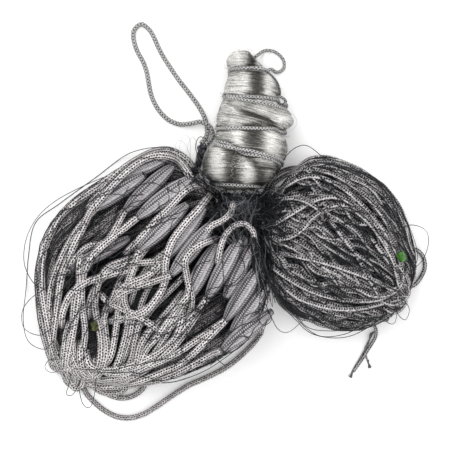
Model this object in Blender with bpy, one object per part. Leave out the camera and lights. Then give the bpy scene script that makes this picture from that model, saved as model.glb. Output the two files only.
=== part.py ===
"""A trammel net bundled for storage and laid flat on its back.

The float line is gathered in a large skein, the lead line in a smaller one, and the fine pale
netting is wound into a tapering bundle, lashed with cord. The three meet at a neck of gathered
dark netting. Metres, +Z up. The origin is on the flat underside of the neck.
"""

import math

import bmesh
import bpy
import numpy as np
from mathutils import Vector
from mathutils.bvhtree import BVHTree

# Layout positions are in millimetres, x from the left edge and y from the far edge of the spread net.
MM = 0.001
ORIGIN_X = 245.0
ORIGIN_Y = 222.0

# The clearance between pieces, and the range within which a surface is near a cord, in millimetres
GAP = 0.35
DEEPEST = 12.0

# Floats and leads, in millimetres
FLOAT_LENGTH = 66.0
FLOAT_RADIUS = 6.4
FLOAT_TIP = 2.4
LEAD_LENGTH = 30.0
LEAD_RADIUS = 3.2
LEAD_TIP = 2.4
MARKER_LENGTH = 12.0
MARKER_RADIUS = 3.4
MARKER_TIP = 3.0

# The steepest that a float, a lead or a laid turn of line runs
STEEPEST = 0.42
TURN_STEEPEST = 0.9

# Cord radii, in millimetres
FLOAT_LINE = 2.8
LEAD_LINE = 1.9
LOOP_CORD = 2.3
LASHING = 1.7
SIDE_CORD = 2.1
TAIL_CORD = 1.7
WHIPPING = 5.0

# A skein's section is widest at this share of its height, and its underside is drawn as a deeper
# curve that the floor cuts off flat. Fullness under 1 makes the curve boxier than an ellipse.
BELT_SHARE = 0.34
UNDER_DEPTH = 1.6
FULLNESS = 0.82
SECTION_STEPS = 720
RIDGE_COLUMNS = 4

# Each row is one section across a skein, from the neck to the far end:
# left x, left y, right x, right y, height.
FLOAT_SKEIN_ROWS = (
    (205, 189, 255, 260, 42),
    (188, 167, 263, 284, 54),
    (165, 152, 266, 306, 60),
    (140, 156, 255, 327, 64),
    (115, 170, 239, 344, 66),
    (92, 187, 216, 359, 66),
    (70, 203, 191, 371, 63),
    (52, 222, 166, 378, 60),
    (41, 246, 141, 380, 56),
    (36, 276, 118, 379, 50),
    (38, 306, 98, 375, 42),
    (45, 335, 82, 369, 32),
    (54, 353, 70, 364, 20),
)
FLOAT_SKEIN_COLUMNS = 64
FLOAT_SKEIN_RINGS = 20
FLOAT_SKEIN_RIDGE = 2.8
HOLLOW_X = 112
HOLLOW_Y = 318
HOLLOW_RADIUS = 26
HOLLOW_DEPTH = 20

LEAD_SKEIN_ROWS = (
    (259, 242, 271, 199, 40),
    (262, 262, 285, 180, 51),
    (270, 284, 304, 160, 58),
    (282, 302, 328, 156, 62),
    (297, 316, 351, 163, 63),
    (314, 324, 372, 177, 62),
    (333, 329, 389, 196, 60),
    (352, 329, 402, 218, 56),
    (369, 326, 411, 242, 50),
    (382, 320, 415, 264, 43),
    (391, 313, 411, 284, 33),
    (396, 307, 404, 297, 20),
)
LEAD_SKEIN_COLUMNS = 56
LEAD_SKEIN_RINGS = 18
LEAD_SKEIN_RIDGE = 2.3

# Sections across the gathered dark netting between the skeins and under the foot of the bundle
NECK_ROWS = (
    (215.2, 190.5, 265.6, 190.5, 34),
    (215.2, 197, 266.6, 197, 42),
    (218.2, 203, 265.6, 203, 46),
    (222.2, 211, 263.6, 211, 47),
    (230.2, 221, 261.6, 221, 46),
    (238.2, 231, 259.6, 231, 42),
    (245.2, 240, 257.6, 240, 34),
)
NECK_COLUMNS = 28
NECK_RINGS = 9
NECK_RIDGE = 1.4

# Sections across the wound pale netting, from its foot to its crown
BUNDLE_ROWS = (
    (226, 190, 254, 190, 34),
    (212, 184, 266, 184, 52),
    (204, 173, 276, 173, 60),
    (203, 161, 285, 161, 62),
    (208, 150, 287, 150, 61),
    (216, 141, 285, 141, 57),
    (215, 131, 286, 131, 58),
    (217, 121, 291, 121, 57),
    (220, 112, 283, 112, 54),
    (222, 103, 279, 103, 51),
    (223, 94, 280, 94, 52),
    (226, 84, 278, 84, 49),
    (229, 75, 272, 75, 44),
    (228, 66, 262, 66, 42),
    (229, 57, 255, 57, 38),
    (236, 50, 248, 50, 26),
)
BUNDLE_COLUMNS = 36
BUNDLE_RINGS = 34
BUNDLE_FLOOR = 4.0
LASHING_POINTS = 80
GROOVE_DEPTH = 2.6
GROOVE_WIDTH = 4.5

# The lashing's way up the bundle: turns made from the right edge over the top, and the layout y there.
LASHING_WAY = (
    (0.05, 186), (0.5, 183), (1.0, 168), (1.5, 144), (2.0, 132), (2.5, 130), (3.0, 102),
    (3.5, 98), (4.0, 73), (4.5, 70),
)

# Creases between the bundle's lobes: x and y of one end, x and y of the other, depth, width.
BUNDLE_CREASES = (
    (222, 142, 243, 156, 6.0, 4.5),
    (243, 156, 268, 170, 6.0, 4.5),
    (236, 110, 262, 119, 5.0, 4.5),
    (262, 119, 288, 137, 6.0, 4.5),
    (254, 44, 252, 68, 7.0, 4.0),
)

# Floats: x and y of the upper tip, x and y of a point that the float points to.
FLOAT_TABLE = (
    (171, 158, 122, 179),
    (148, 176, 108, 202),
    (175, 167, 128, 212),
    (193, 179, 141, 218),
    (190, 204, 143, 249),
    (206, 207, 173, 250),
    (214, 222, 175, 271),
    (217, 242, 194, 286),
    (240, 238, 204, 302),
    (254, 238, 225, 296),
    (261, 262, 222, 322),
    (270, 278, 229, 333),
    (271, 309, 222, 345),
    (134, 237, 98, 256),
)

# Leads: the same columns as the floats.
LEAD_TABLE = (
    (316, 263, 339, 276),
    (288, 268, 316, 282),
    (355, 260, 368, 284),
    (332, 228, 348, 248),
    (370, 242, 388, 266),
    (366, 200, 384, 222),
    (326, 191, 348, 203),
    (322, 300, 350, 310),
)

# Markers: the same columns again.
GREEN_MARKER = (395, 250, 399, 263)
OLIVE_MARKER = (99, 318, 96, 330)

# Outer turns of the float line over its skein: x and y of each point.
FLOAT_TURNS = (
    ((192, 179), (179, 162), (163, 158), (147, 162), (128, 176), (107, 199), (94, 215),
     (85, 233), (77, 250), (68, 271), (63, 295), (58, 325), (54, 350)),
    ((118, 176), (100, 189), (78, 204), (64, 216), (55, 232), (48, 250)),
    ((50, 236), (47, 256), (46, 280), (50, 312), (55, 341)),
    ((87, 252), (85, 267), (84, 286), (80, 312), (75, 338), (70, 360)),
    ((137, 257), (127, 260), (113, 266), (104, 278), (99, 295), (99, 312), (104, 338),
     (103, 359), (96, 372)),
    ((168, 276), (164, 288), (156, 300), (146, 310), (127, 316), (113, 317)),
    ((182, 294), (184, 306), (183, 318), (179, 330), (169, 345), (151, 360), (130, 372),
     (113, 376)),
    ((158, 318), (144, 340), (139, 359), (133, 372)),
    ((141, 266), (123, 270), (106, 275), (90, 281), (76, 292)),
)

# Outer turns of the lead line over its skein.
LEAD_TURNS = (
    ((266, 214), (269, 194), (278, 180), (300, 171), (330, 176), (358, 195), (378, 218),
     (390, 242), (396, 264)),
    ((272, 240), (288, 237), (299, 230), (309, 220), (323, 211), (338, 208), (354, 214),
     (370, 230), (384, 252), (392, 276)),
    ((274, 252), (296, 256), (322, 262), (346, 270), (372, 280), (392, 290)),
    ((280, 284), (300, 298), (330, 306), (358, 306), (384, 300)),
)

# Hand-laid routes of the loose cords: x, y and height above the floor of each point.
HANGING_LOOP_ROUTE = (
    (207, 132, 2.4), (205, 118, 2.4), (199, 106, 2.4), (190, 93, 2.4), (179, 79, 2.4),
    (168, 63, 2.4), (159, 48, 2.4), (152, 33, 2.4), (146, 24, 2.4), (139, 21, 2.4),
    (133, 26, 2.4), (132, 36, 2.4), (137, 51, 2.4), (144, 64, 2.4), (147, 79, 2.4),
    (151, 96, 2.4), (159, 110, 2.4), (169, 119, 2.4), (181, 123, 2.6), (192, 122, 5.5),
    (203, 121, 7.2), (210, 126, 6.0), (213, 134, 3.6),
)
TRAILING_LOOP_ROUTE = (
    (80, 388, 4.0), (87, 399, 2.9), (98, 410, 2.9), (111, 418, 2.9), (125, 421, 2.9),
    (140, 418, 2.9), (156, 409, 2.9), (172, 398, 2.9), (188, 388, 2.9), (206, 380, 2.9),
    (224, 371, 2.9), (240, 359, 2.9), (254, 345, 2.9), (262, 334, 4.0),
)
LOW_LOOP_ROUTE = (
    (98, 388, 5.0), (104, 395, 2.9), (114, 400, 2.9), (126, 400, 2.9), (136, 396, 2.9),
    (143, 389, 5.0),
)
CROWN_LOOP_ROUTE = (
    (259, 52, 6.0), (265, 48, 2.0), (273, 48, 1.8), (280, 52, 1.8), (285, 59, 1.8),
    (284, 67, 1.8), (278, 70, 2.0), (271, 67, 6.0),
)
SIDE_LOOP_ROUTE = (
    (416, 249, 9.0), (422, 252, 5.0), (427, 259, 2.3), (428, 267, 2.3), (425, 276, 2.3),
    (420, 283, 4.0), (414, 288, 8.0),
)
TAIL_ROUTE = (
    (379, 334, 3.0), (376, 342, 1.8), (370, 352, 1.8), (363, 363, 1.8), (355, 374, 1.8),
)

# The height at which a loose cord meets its skein, and how closely cords are sampled: the spacing
# of a cord's points in diameters, and of the points at which a laid turn is tried, in millimetres.
ROOT_HEIGHT = 9.0
CORD_STEP = 2.4
LAY_STEP = 2.0
EASE_STEPS = 4
BEVEL_STEPS = 2


def clear_scene():
    for obj in list(bpy.data.objects):
        bpy.data.objects.remove(obj)


def place(x, y, z=0.0):
    """A layout position and a height, in millimetres, as a point of the frame, in metres."""
    return Vector(((x - ORIGIN_X) * MM, (ORIGIN_Y - y) * MM, z * MM))


def material(name, colour, roughness, metallic=0.0):
    made = bpy.data.materials.new(name)
    made.use_nodes = True
    shader = made.node_tree.nodes["Principled BSDF"]
    shader.inputs["Base Color"].default_value = (*colour, 1.0)
    shader.inputs["Roughness"].default_value = roughness
    shader.inputs["Metallic"].default_value = metallic
    return made


def add_object(name, mesh, finish):
    obj = bpy.data.objects.new(name, mesh)
    mesh.materials.append(finish)
    bpy.context.scene.collection.objects.link(obj)
    return obj


def finished(name, bm, finish):
    """An object from a closed shape, with its faces turned outwards."""
    if bm.calc_volume(signed=True) < 0:
        bmesh.ops.reverse_faces(bm, faces=bm.faces)
    mesh = bpy.data.meshes.new(name)
    bm.to_mesh(mesh)
    bm.free()
    mesh.shade_smooth()
    return add_object(name, mesh, finish)


# Skeins, neck and bundle

def interpolated_rows(rows, count):
    """The section rows at count evenly spaced stations."""
    table = np.array(rows, float)
    stations = np.linspace(0, len(table) - 1, count)
    known = np.arange(len(table))
    return np.stack([np.interp(stations, known, table[:, k]) for k in range(table.shape[1])], axis=1)


def section_ring(row, columns, ridge, floor=0.0):
    """Points round one section, evenly spaced, raised in ridges where turns of line lie together."""
    left, right, height = Vector(row[0:2]), Vector(row[2:4]), row[4]
    centre, half = (left + right) / 2, (right - left) / 2
    belt = BELT_SHARE * height
    angles = np.linspace(0, 2 * math.pi, SECTION_STEPS, endpoint=False)
    cosines, sines = np.cos(angles), np.sin(angles)
    across = half.length * np.sign(cosines) * np.abs(cosines) ** FULLNESS
    reach = np.where(sines > 0, height - belt, UNDER_DEPTH * belt)
    up = belt + reach * np.sign(sines) * np.abs(sines) ** FULLNESS
    up = np.maximum(up, floor)
    steps = np.hypot(np.diff(across, append=across[0]), np.diff(up, append=up[0]))
    along = np.concatenate([[0], np.cumsum(steps)])
    wanted = np.linspace(0, along[-1], columns, endpoint=False)
    closed_across = np.append(across, across[0])
    closed_up = np.append(up, up[0])
    x = np.interp(wanted, along, closed_across)
    z = np.interp(wanted, along, closed_up)
    tangent_x = np.roll(x, -1) - np.roll(x, 1)
    tangent_z = np.roll(z, -1) - np.roll(z, 1)
    size = np.hypot(tangent_x, tangent_z)
    raised = ridge * np.cos(np.arange(columns) * 2 * math.pi / RIDGE_COLUMNS)
    raised = np.where(z <= floor + 0.01, 0.0, raised)
    x = x + raised * tangent_z / size
    z = np.maximum(z - raised * tangent_x / size, floor)
    direction = half.normalized()
    return [(centre.x + direction.x * a, centre.y + direction.y * a, b) for a, b in zip(x, z)]


def shaped_sphere(name, rings, finish):
    """A sphere drawn out so that its rings of latitude lie on the given rings of points."""
    columns = len(rings[0])
    bm = bmesh.new()
    bmesh.ops.create_uvsphere(bm, u_segments=columns, v_segments=len(rings) + 1, radius=1.0)
    foot = np.mean(rings[0], axis=0)
    crown = np.mean(rings[-1], axis=0)
    for vert in bm.verts:
        latitude = math.acos(max(-1.0, min(1.0, vert.co.z))) / math.pi
        ring = round(latitude * (len(rings) + 1)) - 1
        column = round(math.atan2(vert.co.y, vert.co.x) / (2 * math.pi) * columns) % columns
        if ring < 0:
            point = foot
        elif ring >= len(rings):
            point = crown
        else:
            point = rings[ring][column]
        vert.co = place(*point)
    return finished(name, bm, finish)


def float_skein(finish):
    rows = interpolated_rows(FLOAT_SKEIN_ROWS, FLOAT_SKEIN_RINGS)
    rings = [section_ring(row, FLOAT_SKEIN_COLUMNS, FLOAT_SKEIN_RIDGE) for row in rows]
    sunk = []
    for row, ring in zip(rows, rings):
        sunk.append([(x, y, hollowed(x, y, z, row[4])) for x, y, z in ring])
    return shaped_sphere("float_line_skein", sunk, finish)


def hollowed(x, y, z, height):
    """The skein's open middle: its upper side sinks towards the centre of the turns."""
    away = math.hypot(x - HOLLOW_X, y - HOLLOW_Y) / HOLLOW_RADIUS
    upper = max(0.0, z / height - BELT_SHARE) / (1 - BELT_SHARE)
    return z - HOLLOW_DEPTH * min(1.0, 2 * upper) * math.exp(-away * away)


def lead_skein(finish):
    rows = interpolated_rows(LEAD_SKEIN_ROWS, LEAD_SKEIN_RINGS)
    rings = [section_ring(row, LEAD_SKEIN_COLUMNS, LEAD_SKEIN_RIDGE) for row in rows]
    return shaped_sphere("lead_line_skein", rings, finish)


def neck(finish):
    rows = interpolated_rows(NECK_ROWS, NECK_RINGS)
    rings = [section_ring(row, NECK_COLUMNS, NECK_RIDGE) for row in rows]
    return shaped_sphere("gathered_neck", rings, finish)


def bundle_rings():
    """Rings of the wound netting, with its creases and the groove that the lashing draws in."""
    rows = interpolated_rows(BUNDLE_ROWS, BUNDLE_RINGS)
    rings = [section_ring(row, BUNDLE_COLUMNS, 0.0, BUNDLE_FLOOR) for row in rows]
    shaped = []
    for row, ring in zip(rows, rings):
        middle = Vector(((row[0] + row[2]) / 2, BELT_SHARE * row[4]))
        points = []
        for j, (x, y, z) in enumerate(ring):
            outward = Vector((x, z)) - middle
            draw = GROOVE_DEPTH * groove_share(y, j / BUNDLE_COLUMNS)
            drawn = outward * (1 - draw / max(outward.length, draw))
            height = middle.y + drawn.y - crease_depth(x, y, z, row[4])
            points.append((middle.x + drawn.x, y, max(BUNDLE_FLOOR, height)))
        shaped.append(points)
    return shaped


def lashing_y(turns):
    """How far up the bundle the lashing is after that many turns, as a layout y."""
    return float(np.interp(turns, *zip(*LASHING_WAY)))


def groove_share(y, turn):
    """How deep in the lashing's groove a place on the bundle is, from 0 to 1."""
    first, last = LASHING_WAY[0][0], LASHING_WAY[-1][0]
    turned = [whole + turn for whole in range(math.ceil(last)) if first <= whole + turn <= last]
    away = [(y - lashing_y(turns)) / GROOVE_WIDTH for turns in turned]
    return max((math.exp(-a * a) for a in away), default=0.0)


def crease_depth(x, y, z, height):
    upper = max(0.0, z / height - BELT_SHARE) / (1 - BELT_SHARE)
    deepest = 0.0
    for x0, y0, x1, y1, depth, width in BUNDLE_CREASES:
        start, line = Vector((x0, y0)), Vector((x1 - x0, y1 - y0))
        share = max(0.0, min(1.0, (Vector((x, y)) - start).dot(line) / line.length_squared))
        away = (Vector((x, y)) - start - line * share).length / width
        deepest = max(deepest, depth * min(1.0, 2 * upper) * math.exp(-away * away))
    return deepest


def surface_at(rings, station, turn):
    """A point on a ringed body, in layout millimetres, between its rings and columns."""
    table = np.array(rings)
    along = station * (len(table) - 1)
    low = min(int(along), len(table) - 2)
    round_it = turn * table.shape[1]
    first = int(math.floor(round_it))
    side = round_it - first
    a = table[:, first % table.shape[1]] * (1 - side) + table[:, (first + 1) % table.shape[1]] * side
    return a[low] + (a[low + 1] - a[low]) * (along - low)


def lashing_route(rings):
    """The lashing's spiral up the bundle, in layout millimetres, clear of its surface."""
    tree = BVHTree.FromPolygons(*ring_surface(rings))
    points, ways = [], []
    levels = [ring[0][1] for ring in rings]
    for turns in np.linspace(LASHING_WAY[0][0], LASHING_WAY[-1][0], LASHING_POINTS):
        along = np.interp(-lashing_y(turns), [-y for y in levels], range(len(levels)))
        station = along / (len(levels) - 1)
        point = Vector(surface_at(rings, station, turns % 1.0))
        centre = Vector(np.mean(surface_ring(rings, station), axis=0))
        centre.y = point.y
        outward = (point - centre).normalized()
        points.append(pushed_clear(point, outward, tree, LASHING + GAP))
        ways.append(outward)
    for _ in range(60):
        low = {k for i in range(len(points) - 1) for k in (i, i + 1)
               if nearest_on_chord(points[i], points[i + 1], tree) < LASHING + GAP}
        for k in low:
            points[k] = points[k] + ways[k] * 0.1
        if not low:
            break
    for point in points:
        point.z = max(point.z, LASHING + 0.1)
    return [tuple(point) for point in points]


def nearest_on_chord(start, end, tree):
    return min(tree.find_nearest(start.lerp(end, t))[3] for t in (0.2, 0.4, 0.5, 0.6, 0.8))


def surface_ring(rings, station):
    along = station * (len(rings) - 1)
    low = min(int(along), len(rings) - 2)
    lower, upper = np.array(rings[low]), np.array(rings[low + 1])
    return lower + (upper - lower) * (along - low)


def ring_surface(rings):
    """Points and four-sided faces between consecutive rings, for measuring distances."""
    columns = len(rings[0])
    points = [Vector(point) for ring in rings for point in ring]
    faces = []
    for i in range(len(rings) - 1):
        for j in range(columns):
            k = (j + 1) % columns
            faces.append((i * columns + j, i * columns + k, (i + 1) * columns + k, (i + 1) * columns + j))
    return points, faces


def pushed_clear(point, outward, tree, clearance):
    """The point moved outward until it is that far from the surface."""
    moved = point.copy()
    for _ in range(80):
        found = tree.find_nearest(moved)
        beside = (moved - found[0]).dot(outward) >= 0
        if beside and found[3] >= clearance:
            break
        moved += outward * 0.1
    return moved


# Floats, leads and markers

class Ground:
    """The upper surface of the pieces laid so far, seen from above."""

    def __init__(self, objects):
        self.trees = [tree_of(obj) for obj in objects]

    def height(self, x, y):
        """Height in millimetres above a layout position."""
        above = place(x, y, 500)
        best = 0.0
        for tree in self.trees:
            hit = tree.ray_cast(above, Vector((0, 0, -1)))[0]
            if hit is not None:
                best = max(best, hit.z / MM)
        return best


def tree_of(obj):
    """A tree of an object's faces, without those that lie flat on the floor."""
    mesh = obj.data
    if obj.type == "CURVE":
        bpy.context.view_layer.update()
        mesh = obj.evaluated_get(bpy.context.evaluated_depsgraph_get()).to_mesh()
    points = [v.co.copy() for v in mesh.vertices]
    raised = [tuple(p.vertices) for p in mesh.polygons if max(points[k].z for k in p.vertices) > 0.1 * MM]
    return BVHTree.FromPolygons(points, raised)


def spindle_radius(t, radius, tip):
    return tip + (radius - tip) * (1 - abs(2 * t - 1) ** 2.4)


def rest_line(x0, y0, x1, y1, length, radius, tip, ground):
    """Where a straight spindle comes to lie: its two tips, in layout millimetres."""
    start = Vector((x0, y0))
    along = (Vector((x1, y1)) - start).normalized()
    side = Vector((-along.y, along.x))
    best = None
    for slope in np.linspace(-STEEPEST, STEEPEST, 41):
        plan = length / math.hypot(1, slope)
        lowest = -math.inf
        for t in np.linspace(0, 1, 21):
            r = spindle_radius(t, radius, tip)
            for share in np.linspace(-0.96, 0.96, 9):
                spot = start + along * (plan * t) + side * (r * share)
                under = r * math.sqrt(1 - share * share) * math.hypot(1, slope)
                lowest = max(lowest, ground.height(spot.x, spot.y) + under + GAP - slope * plan * t)
        middle = lowest + slope * plan / 2
        if best is None or middle < best[0]:
            best = (middle, slope, plan, lowest)
    _, slope, plan, lowest = best
    end = start + along * plan
    return Vector((start.x, start.y, lowest)), Vector((end.x, end.y, lowest + slope * plan))


def spindle(name, row, length, radius, tip, sides, rings, ground, finish):
    """A float, a lead or a marker, laid on what is under it, and what the next ones lie on."""
    head, foot = rest_line(*row, length, radius, tip, ground)
    bm = bmesh.new()
    bmesh.ops.create_cone(bm, segments=sides, radius1=1, radius2=1, depth=1, cap_ends=True)
    walls = [e for e in bm.edges if abs(e.verts[0].co.z - e.verts[1].co.z) > 0.5]
    bmesh.ops.subdivide_edges(bm, edges=walls, cuts=rings)
    axis = (foot - head).normalized()
    turned = Vector((0, 0, 1)).rotation_difference(axis)
    for vert in bm.verts:
        t = vert.co.z + 0.5
        r = spindle_radius(t, radius, tip)
        spot = head + (foot - head) * t + turned @ Vector((vert.co.x * r, vert.co.y * r, 0))
        vert.co = place(*spot)
    obj = finished(name, bm, finish)
    obj.data.set_sharp_from_angle(angle=math.radians(50))
    ground.trees.append(tree_of(obj))


# Cords

def laid_turn(name, plan, radius, ground, finish):
    """A turn of line that lies along a plan route, on what is under it."""
    fine = smooth_route([(x, y, 0.0) for x, y in plan], LAY_STEP)
    heading = np.gradient(fine[:, :2], axis=0)
    heading /= np.linalg.norm(heading, axis=1)[:, None]
    needed = []
    for (x, y, _), (dx, dy) in zip(fine, heading):
        tops = []
        for share in (-1.15, -0.9, -0.5, 0.0, 0.5, 0.9, 1.15):
            lift = radius * math.sqrt(max(0.0, 1 - share * share)) + GAP
            tops.append(ground.height(x - dy * radius * share, y + dx * radius * share) + lift)
        needed.append(max(tops))
    fine[:, 2] = eased_heights(np.maximum(needed, radius + 0.1))
    every = max(1, round(CORD_STEP * 2 * radius / LAY_STEP))
    kept = np.arange(0, len(fine), every)
    if kept[-1] != len(fine) - 1:
        kept = np.append(kept, len(fine) - 1)
    points = fine[kept]
    for _ in range(80):
        chord = np.interp(np.arange(len(fine)), kept, points[:, 2])
        short = np.asarray(needed) - chord
        if short.max() <= 0:
            break
        worst = int(short.argmax())
        for k in np.flatnonzero(np.abs(kept - worst) <= every):
            points[k, 2] += min(short[worst], 0.4) + 0.02
    obj = tube(name, cleared(points, radius, ground.trees), radius, finish)
    ground.trees.append(tree_of(obj))


def eased_heights(heights):
    """The heights, raised where a line under some tension would bridge a dip."""
    eased = heights.copy()
    drop = TURN_STEEPEST * LAY_STEP
    for i in range(1, len(eased)):
        eased[i] = max(eased[i], eased[i - 1] - drop)
    for i in range(len(eased) - 2, -1, -1):
        eased[i] = max(eased[i], eased[i + 1] - drop)
    padded = np.pad(eased, 2 * EASE_STEPS, mode="edge")
    width = 2 * EASE_STEPS + 1
    tops = np.array([padded[i:i + width].max() for i in range(len(padded) - width + 1)])
    return np.convolve(tops, np.full(width, 1 / width), mode="valid")


def smooth_route(points, step):
    """Points a step apart on a smooth curve through the given ones."""
    known = np.array(points, float)
    padded = np.vstack([2 * known[0] - known[1], known, 2 * known[-1] - known[-2]])
    fine = []
    for i in range(1, len(padded) - 2):
        a, b, c, d = padded[i - 1:i + 3]
        for t in np.linspace(0, 1, 24, endpoint=False):
            fine.append(0.5 * (2 * b + (c - a) * t + (2 * a - 5 * b + 4 * c - d) * t * t
                               + (3 * b - a - 3 * c + d) * t ** 3))
    fine.append(known[-1])
    fine = np.array(fine)
    along = np.concatenate([[0], np.cumsum(np.linalg.norm(np.diff(fine, axis=0), axis=1))])
    count = max(4, round(along[-1] / step) + 1)
    wanted = np.linspace(0, along[-1], count)
    return np.stack([np.interp(wanted, along, fine[:, k]) for k in range(3)], axis=1)


def cord(name, route, radius, finish):
    """A round cord through smoothly spaced points of a route."""
    return tube(name, smooth_route(route, CORD_STEP * 2 * radius), radius, finish)


def tube(name, points, radius, finish):
    """A round cord straight from point to point, as a curve with a bevel and filled caps."""
    curve = bpy.data.curves.new(name, "CURVE")
    curve.dimensions = "3D"
    curve.bevel_depth = radius * MM
    curve.bevel_resolution = BEVEL_STEPS
    curve.use_fill_caps = True
    spline = curve.splines.new("POLY")
    spline.points.add(len(points) - 1)
    for spot, point in zip(spline.points, points):
        spot.co = (*place(*point), 1.0)
    return add_object(name, curve, finish)


def root(outside, radius, tree):
    """Two points that lead a cord's end square onto the surface nearest to a place outside it."""
    found, normal, _, _ = tree.find_nearest(place(*outside))
    normal = Vector((normal.x, normal.y, max(normal.z, 0.0))).normalized()
    side = normal.orthogonal().normalized()
    other = normal.cross(side)
    for tenth in range(3, 60):
        start = found + normal * (tenth * 0.1 * MM)
        rim = [start + (side * math.cos(a) + other * math.sin(a)) * (radius * MM)
               for a in np.linspace(0, 2 * math.pi, 12, endpoint=False)]
        gaps = []
        for point in [start, *rim]:
            nearest, facing, _, far = tree.find_nearest(point)
            gaps.append(far if (point - nearest).dot(facing) > 0 else -far)
        if min(gaps) >= GAP * MM:
            break
    lead = start + normal * (1.6 * radius * MM)
    return layout(start), layout(lead)


def layout(point):
    """A point of the frame as layout millimetres."""
    return (point.x / MM + ORIGIN_X, ORIGIN_Y - point.y / MM, point.z / MM)


def cleared(points, radius, trees):
    """The points of a cord, in layout millimetres, each moved until the cord touches no tree."""
    moved = [Vector(point) for point in points]
    for _ in range(40):
        pushes = [Vector((0, 0, 0)) for _ in moved]
        for i in range(len(moved) - 1):
            for t in (0.0, 0.2, 0.4, 0.6, 0.8, 1.0):
                push = push_away(moved[i].lerp(moved[i + 1], t), radius + GAP, trees)
                for k in (i, i + 1):
                    if push.length > pushes[k].length:
                        pushes[k] = push
        if all(push.length == 0 for push in pushes):
            break
        for k, push in enumerate(pushes):
            moved[k] = moved[k] + push
            moved[k].z = max(moved[k].z, radius + 0.1)
    return [tuple(point) for point in moved]


def push_away(spot, clearance, trees):
    """The move, in layout millimetres, that takes a spot clear of the nearest surface."""
    for tree in trees:
        point = place(*spot)
        nearest, facing, _, far = tree.find_nearest(point)
        inside = far < DEEPEST * MM and (point - nearest).dot(facing) < 0
        if inside or far < clearance * MM:
            out = facing.copy() if inside else (point - nearest).normalized()
            out.z = max(out.z, 0.0)
            short = clearance + 0.03 + (far / MM if inside else -far / MM)
            return Vector((out.x, -out.y, out.z)).normalized() * min(short, 1.0)
    return Vector((0, 0, 0))


def eased_end(end, lead, radius, trees):
    """A cord's end, moved off the surfaces until the rim of its last stretch touches none."""
    moved, after = place(*end), place(*lead)
    for _ in range(60):
        along = (after - moved).normalized()
        side = along.orthogonal().normalized()
        other = along.cross(side)
        worst, way = math.inf, None
        for t in (0.0, 0.3, 0.6, 0.9):
            for a in np.linspace(0, 2 * math.pi, 12, endpoint=False):
                rim = moved.lerp(after, t) + (side * math.cos(a) + other * math.sin(a)) * (radius * MM)
                for tree in trees:
                    nearest, facing, _, far = tree.find_nearest(rim)
                    gap = far if far > DEEPEST * MM or (rim - nearest).dot(facing) > 0 else -far
                    if gap < worst:
                        worst, way = gap, facing.copy()
        if worst >= GAP * MM:
            break
        moved += way * (0.1 * MM)
    return layout(moved)


def rooted_cord(name, route, radius, finish, first_tree, last_tree, trees):
    """A cord whose ends leave and meet the given surfaces; last_tree is None at a free end."""
    first = (route[0][0], route[0][1], ROOT_HEIGHT)
    start, lead = root(first, radius, first_tree)
    points = [start, lead, *route]
    if last_tree is not None:
        last = (route[-1][0], route[-1][1], ROOT_HEIGHT)
        end, lead_back = root(last, radius, last_tree)
        points += [lead_back, end]
    spaced = smooth_route(points, CORD_STEP * 2 * radius)
    middle = cleared(spaced[1:] if last_tree is None else spaced[1:-1], radius, trees)
    head = eased_end(spaced[0], middle[0], radius, trees)
    tail = [] if last_tree is None else [eased_end(spaced[-1], middle[-1], radius, trees)]
    return tube(name, [head, *middle, *tail], radius, finish)


def whipping_and_loop(skein_tree, dark, line):
    """The dark whipping beside the bundle, and the hanging loop whose two ends it binds."""
    start, lead = root((197, 166, 10), WHIPPING, skein_tree)
    head = (203, 144, WHIPPING + 0.1)
    tube("loop_whipping", [start, lead, (200, 154, WHIPPING + 0.1), head], WHIPPING, dark)
    top = Vector(head)
    up = Vector((0.28, -0.96, 0.0)).normalized()
    side = Vector((-up.y, up.x, 0.0))
    left = top + up * (GAP + 0.45) - side * (LOOP_CORD + 0.3)
    right = top + up * (GAP + 0.45) + side * (LOOP_CORD + 0.3)
    first, last = (left, right) if left.x < right.x else (right, left)
    route = [tuple(first), tuple(first + up * 4), *HANGING_LOOP_ROUTE, tuple(last + up * 4), tuple(last)]
    cord("hanging_loop", route, LOOP_CORD, line)


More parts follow.
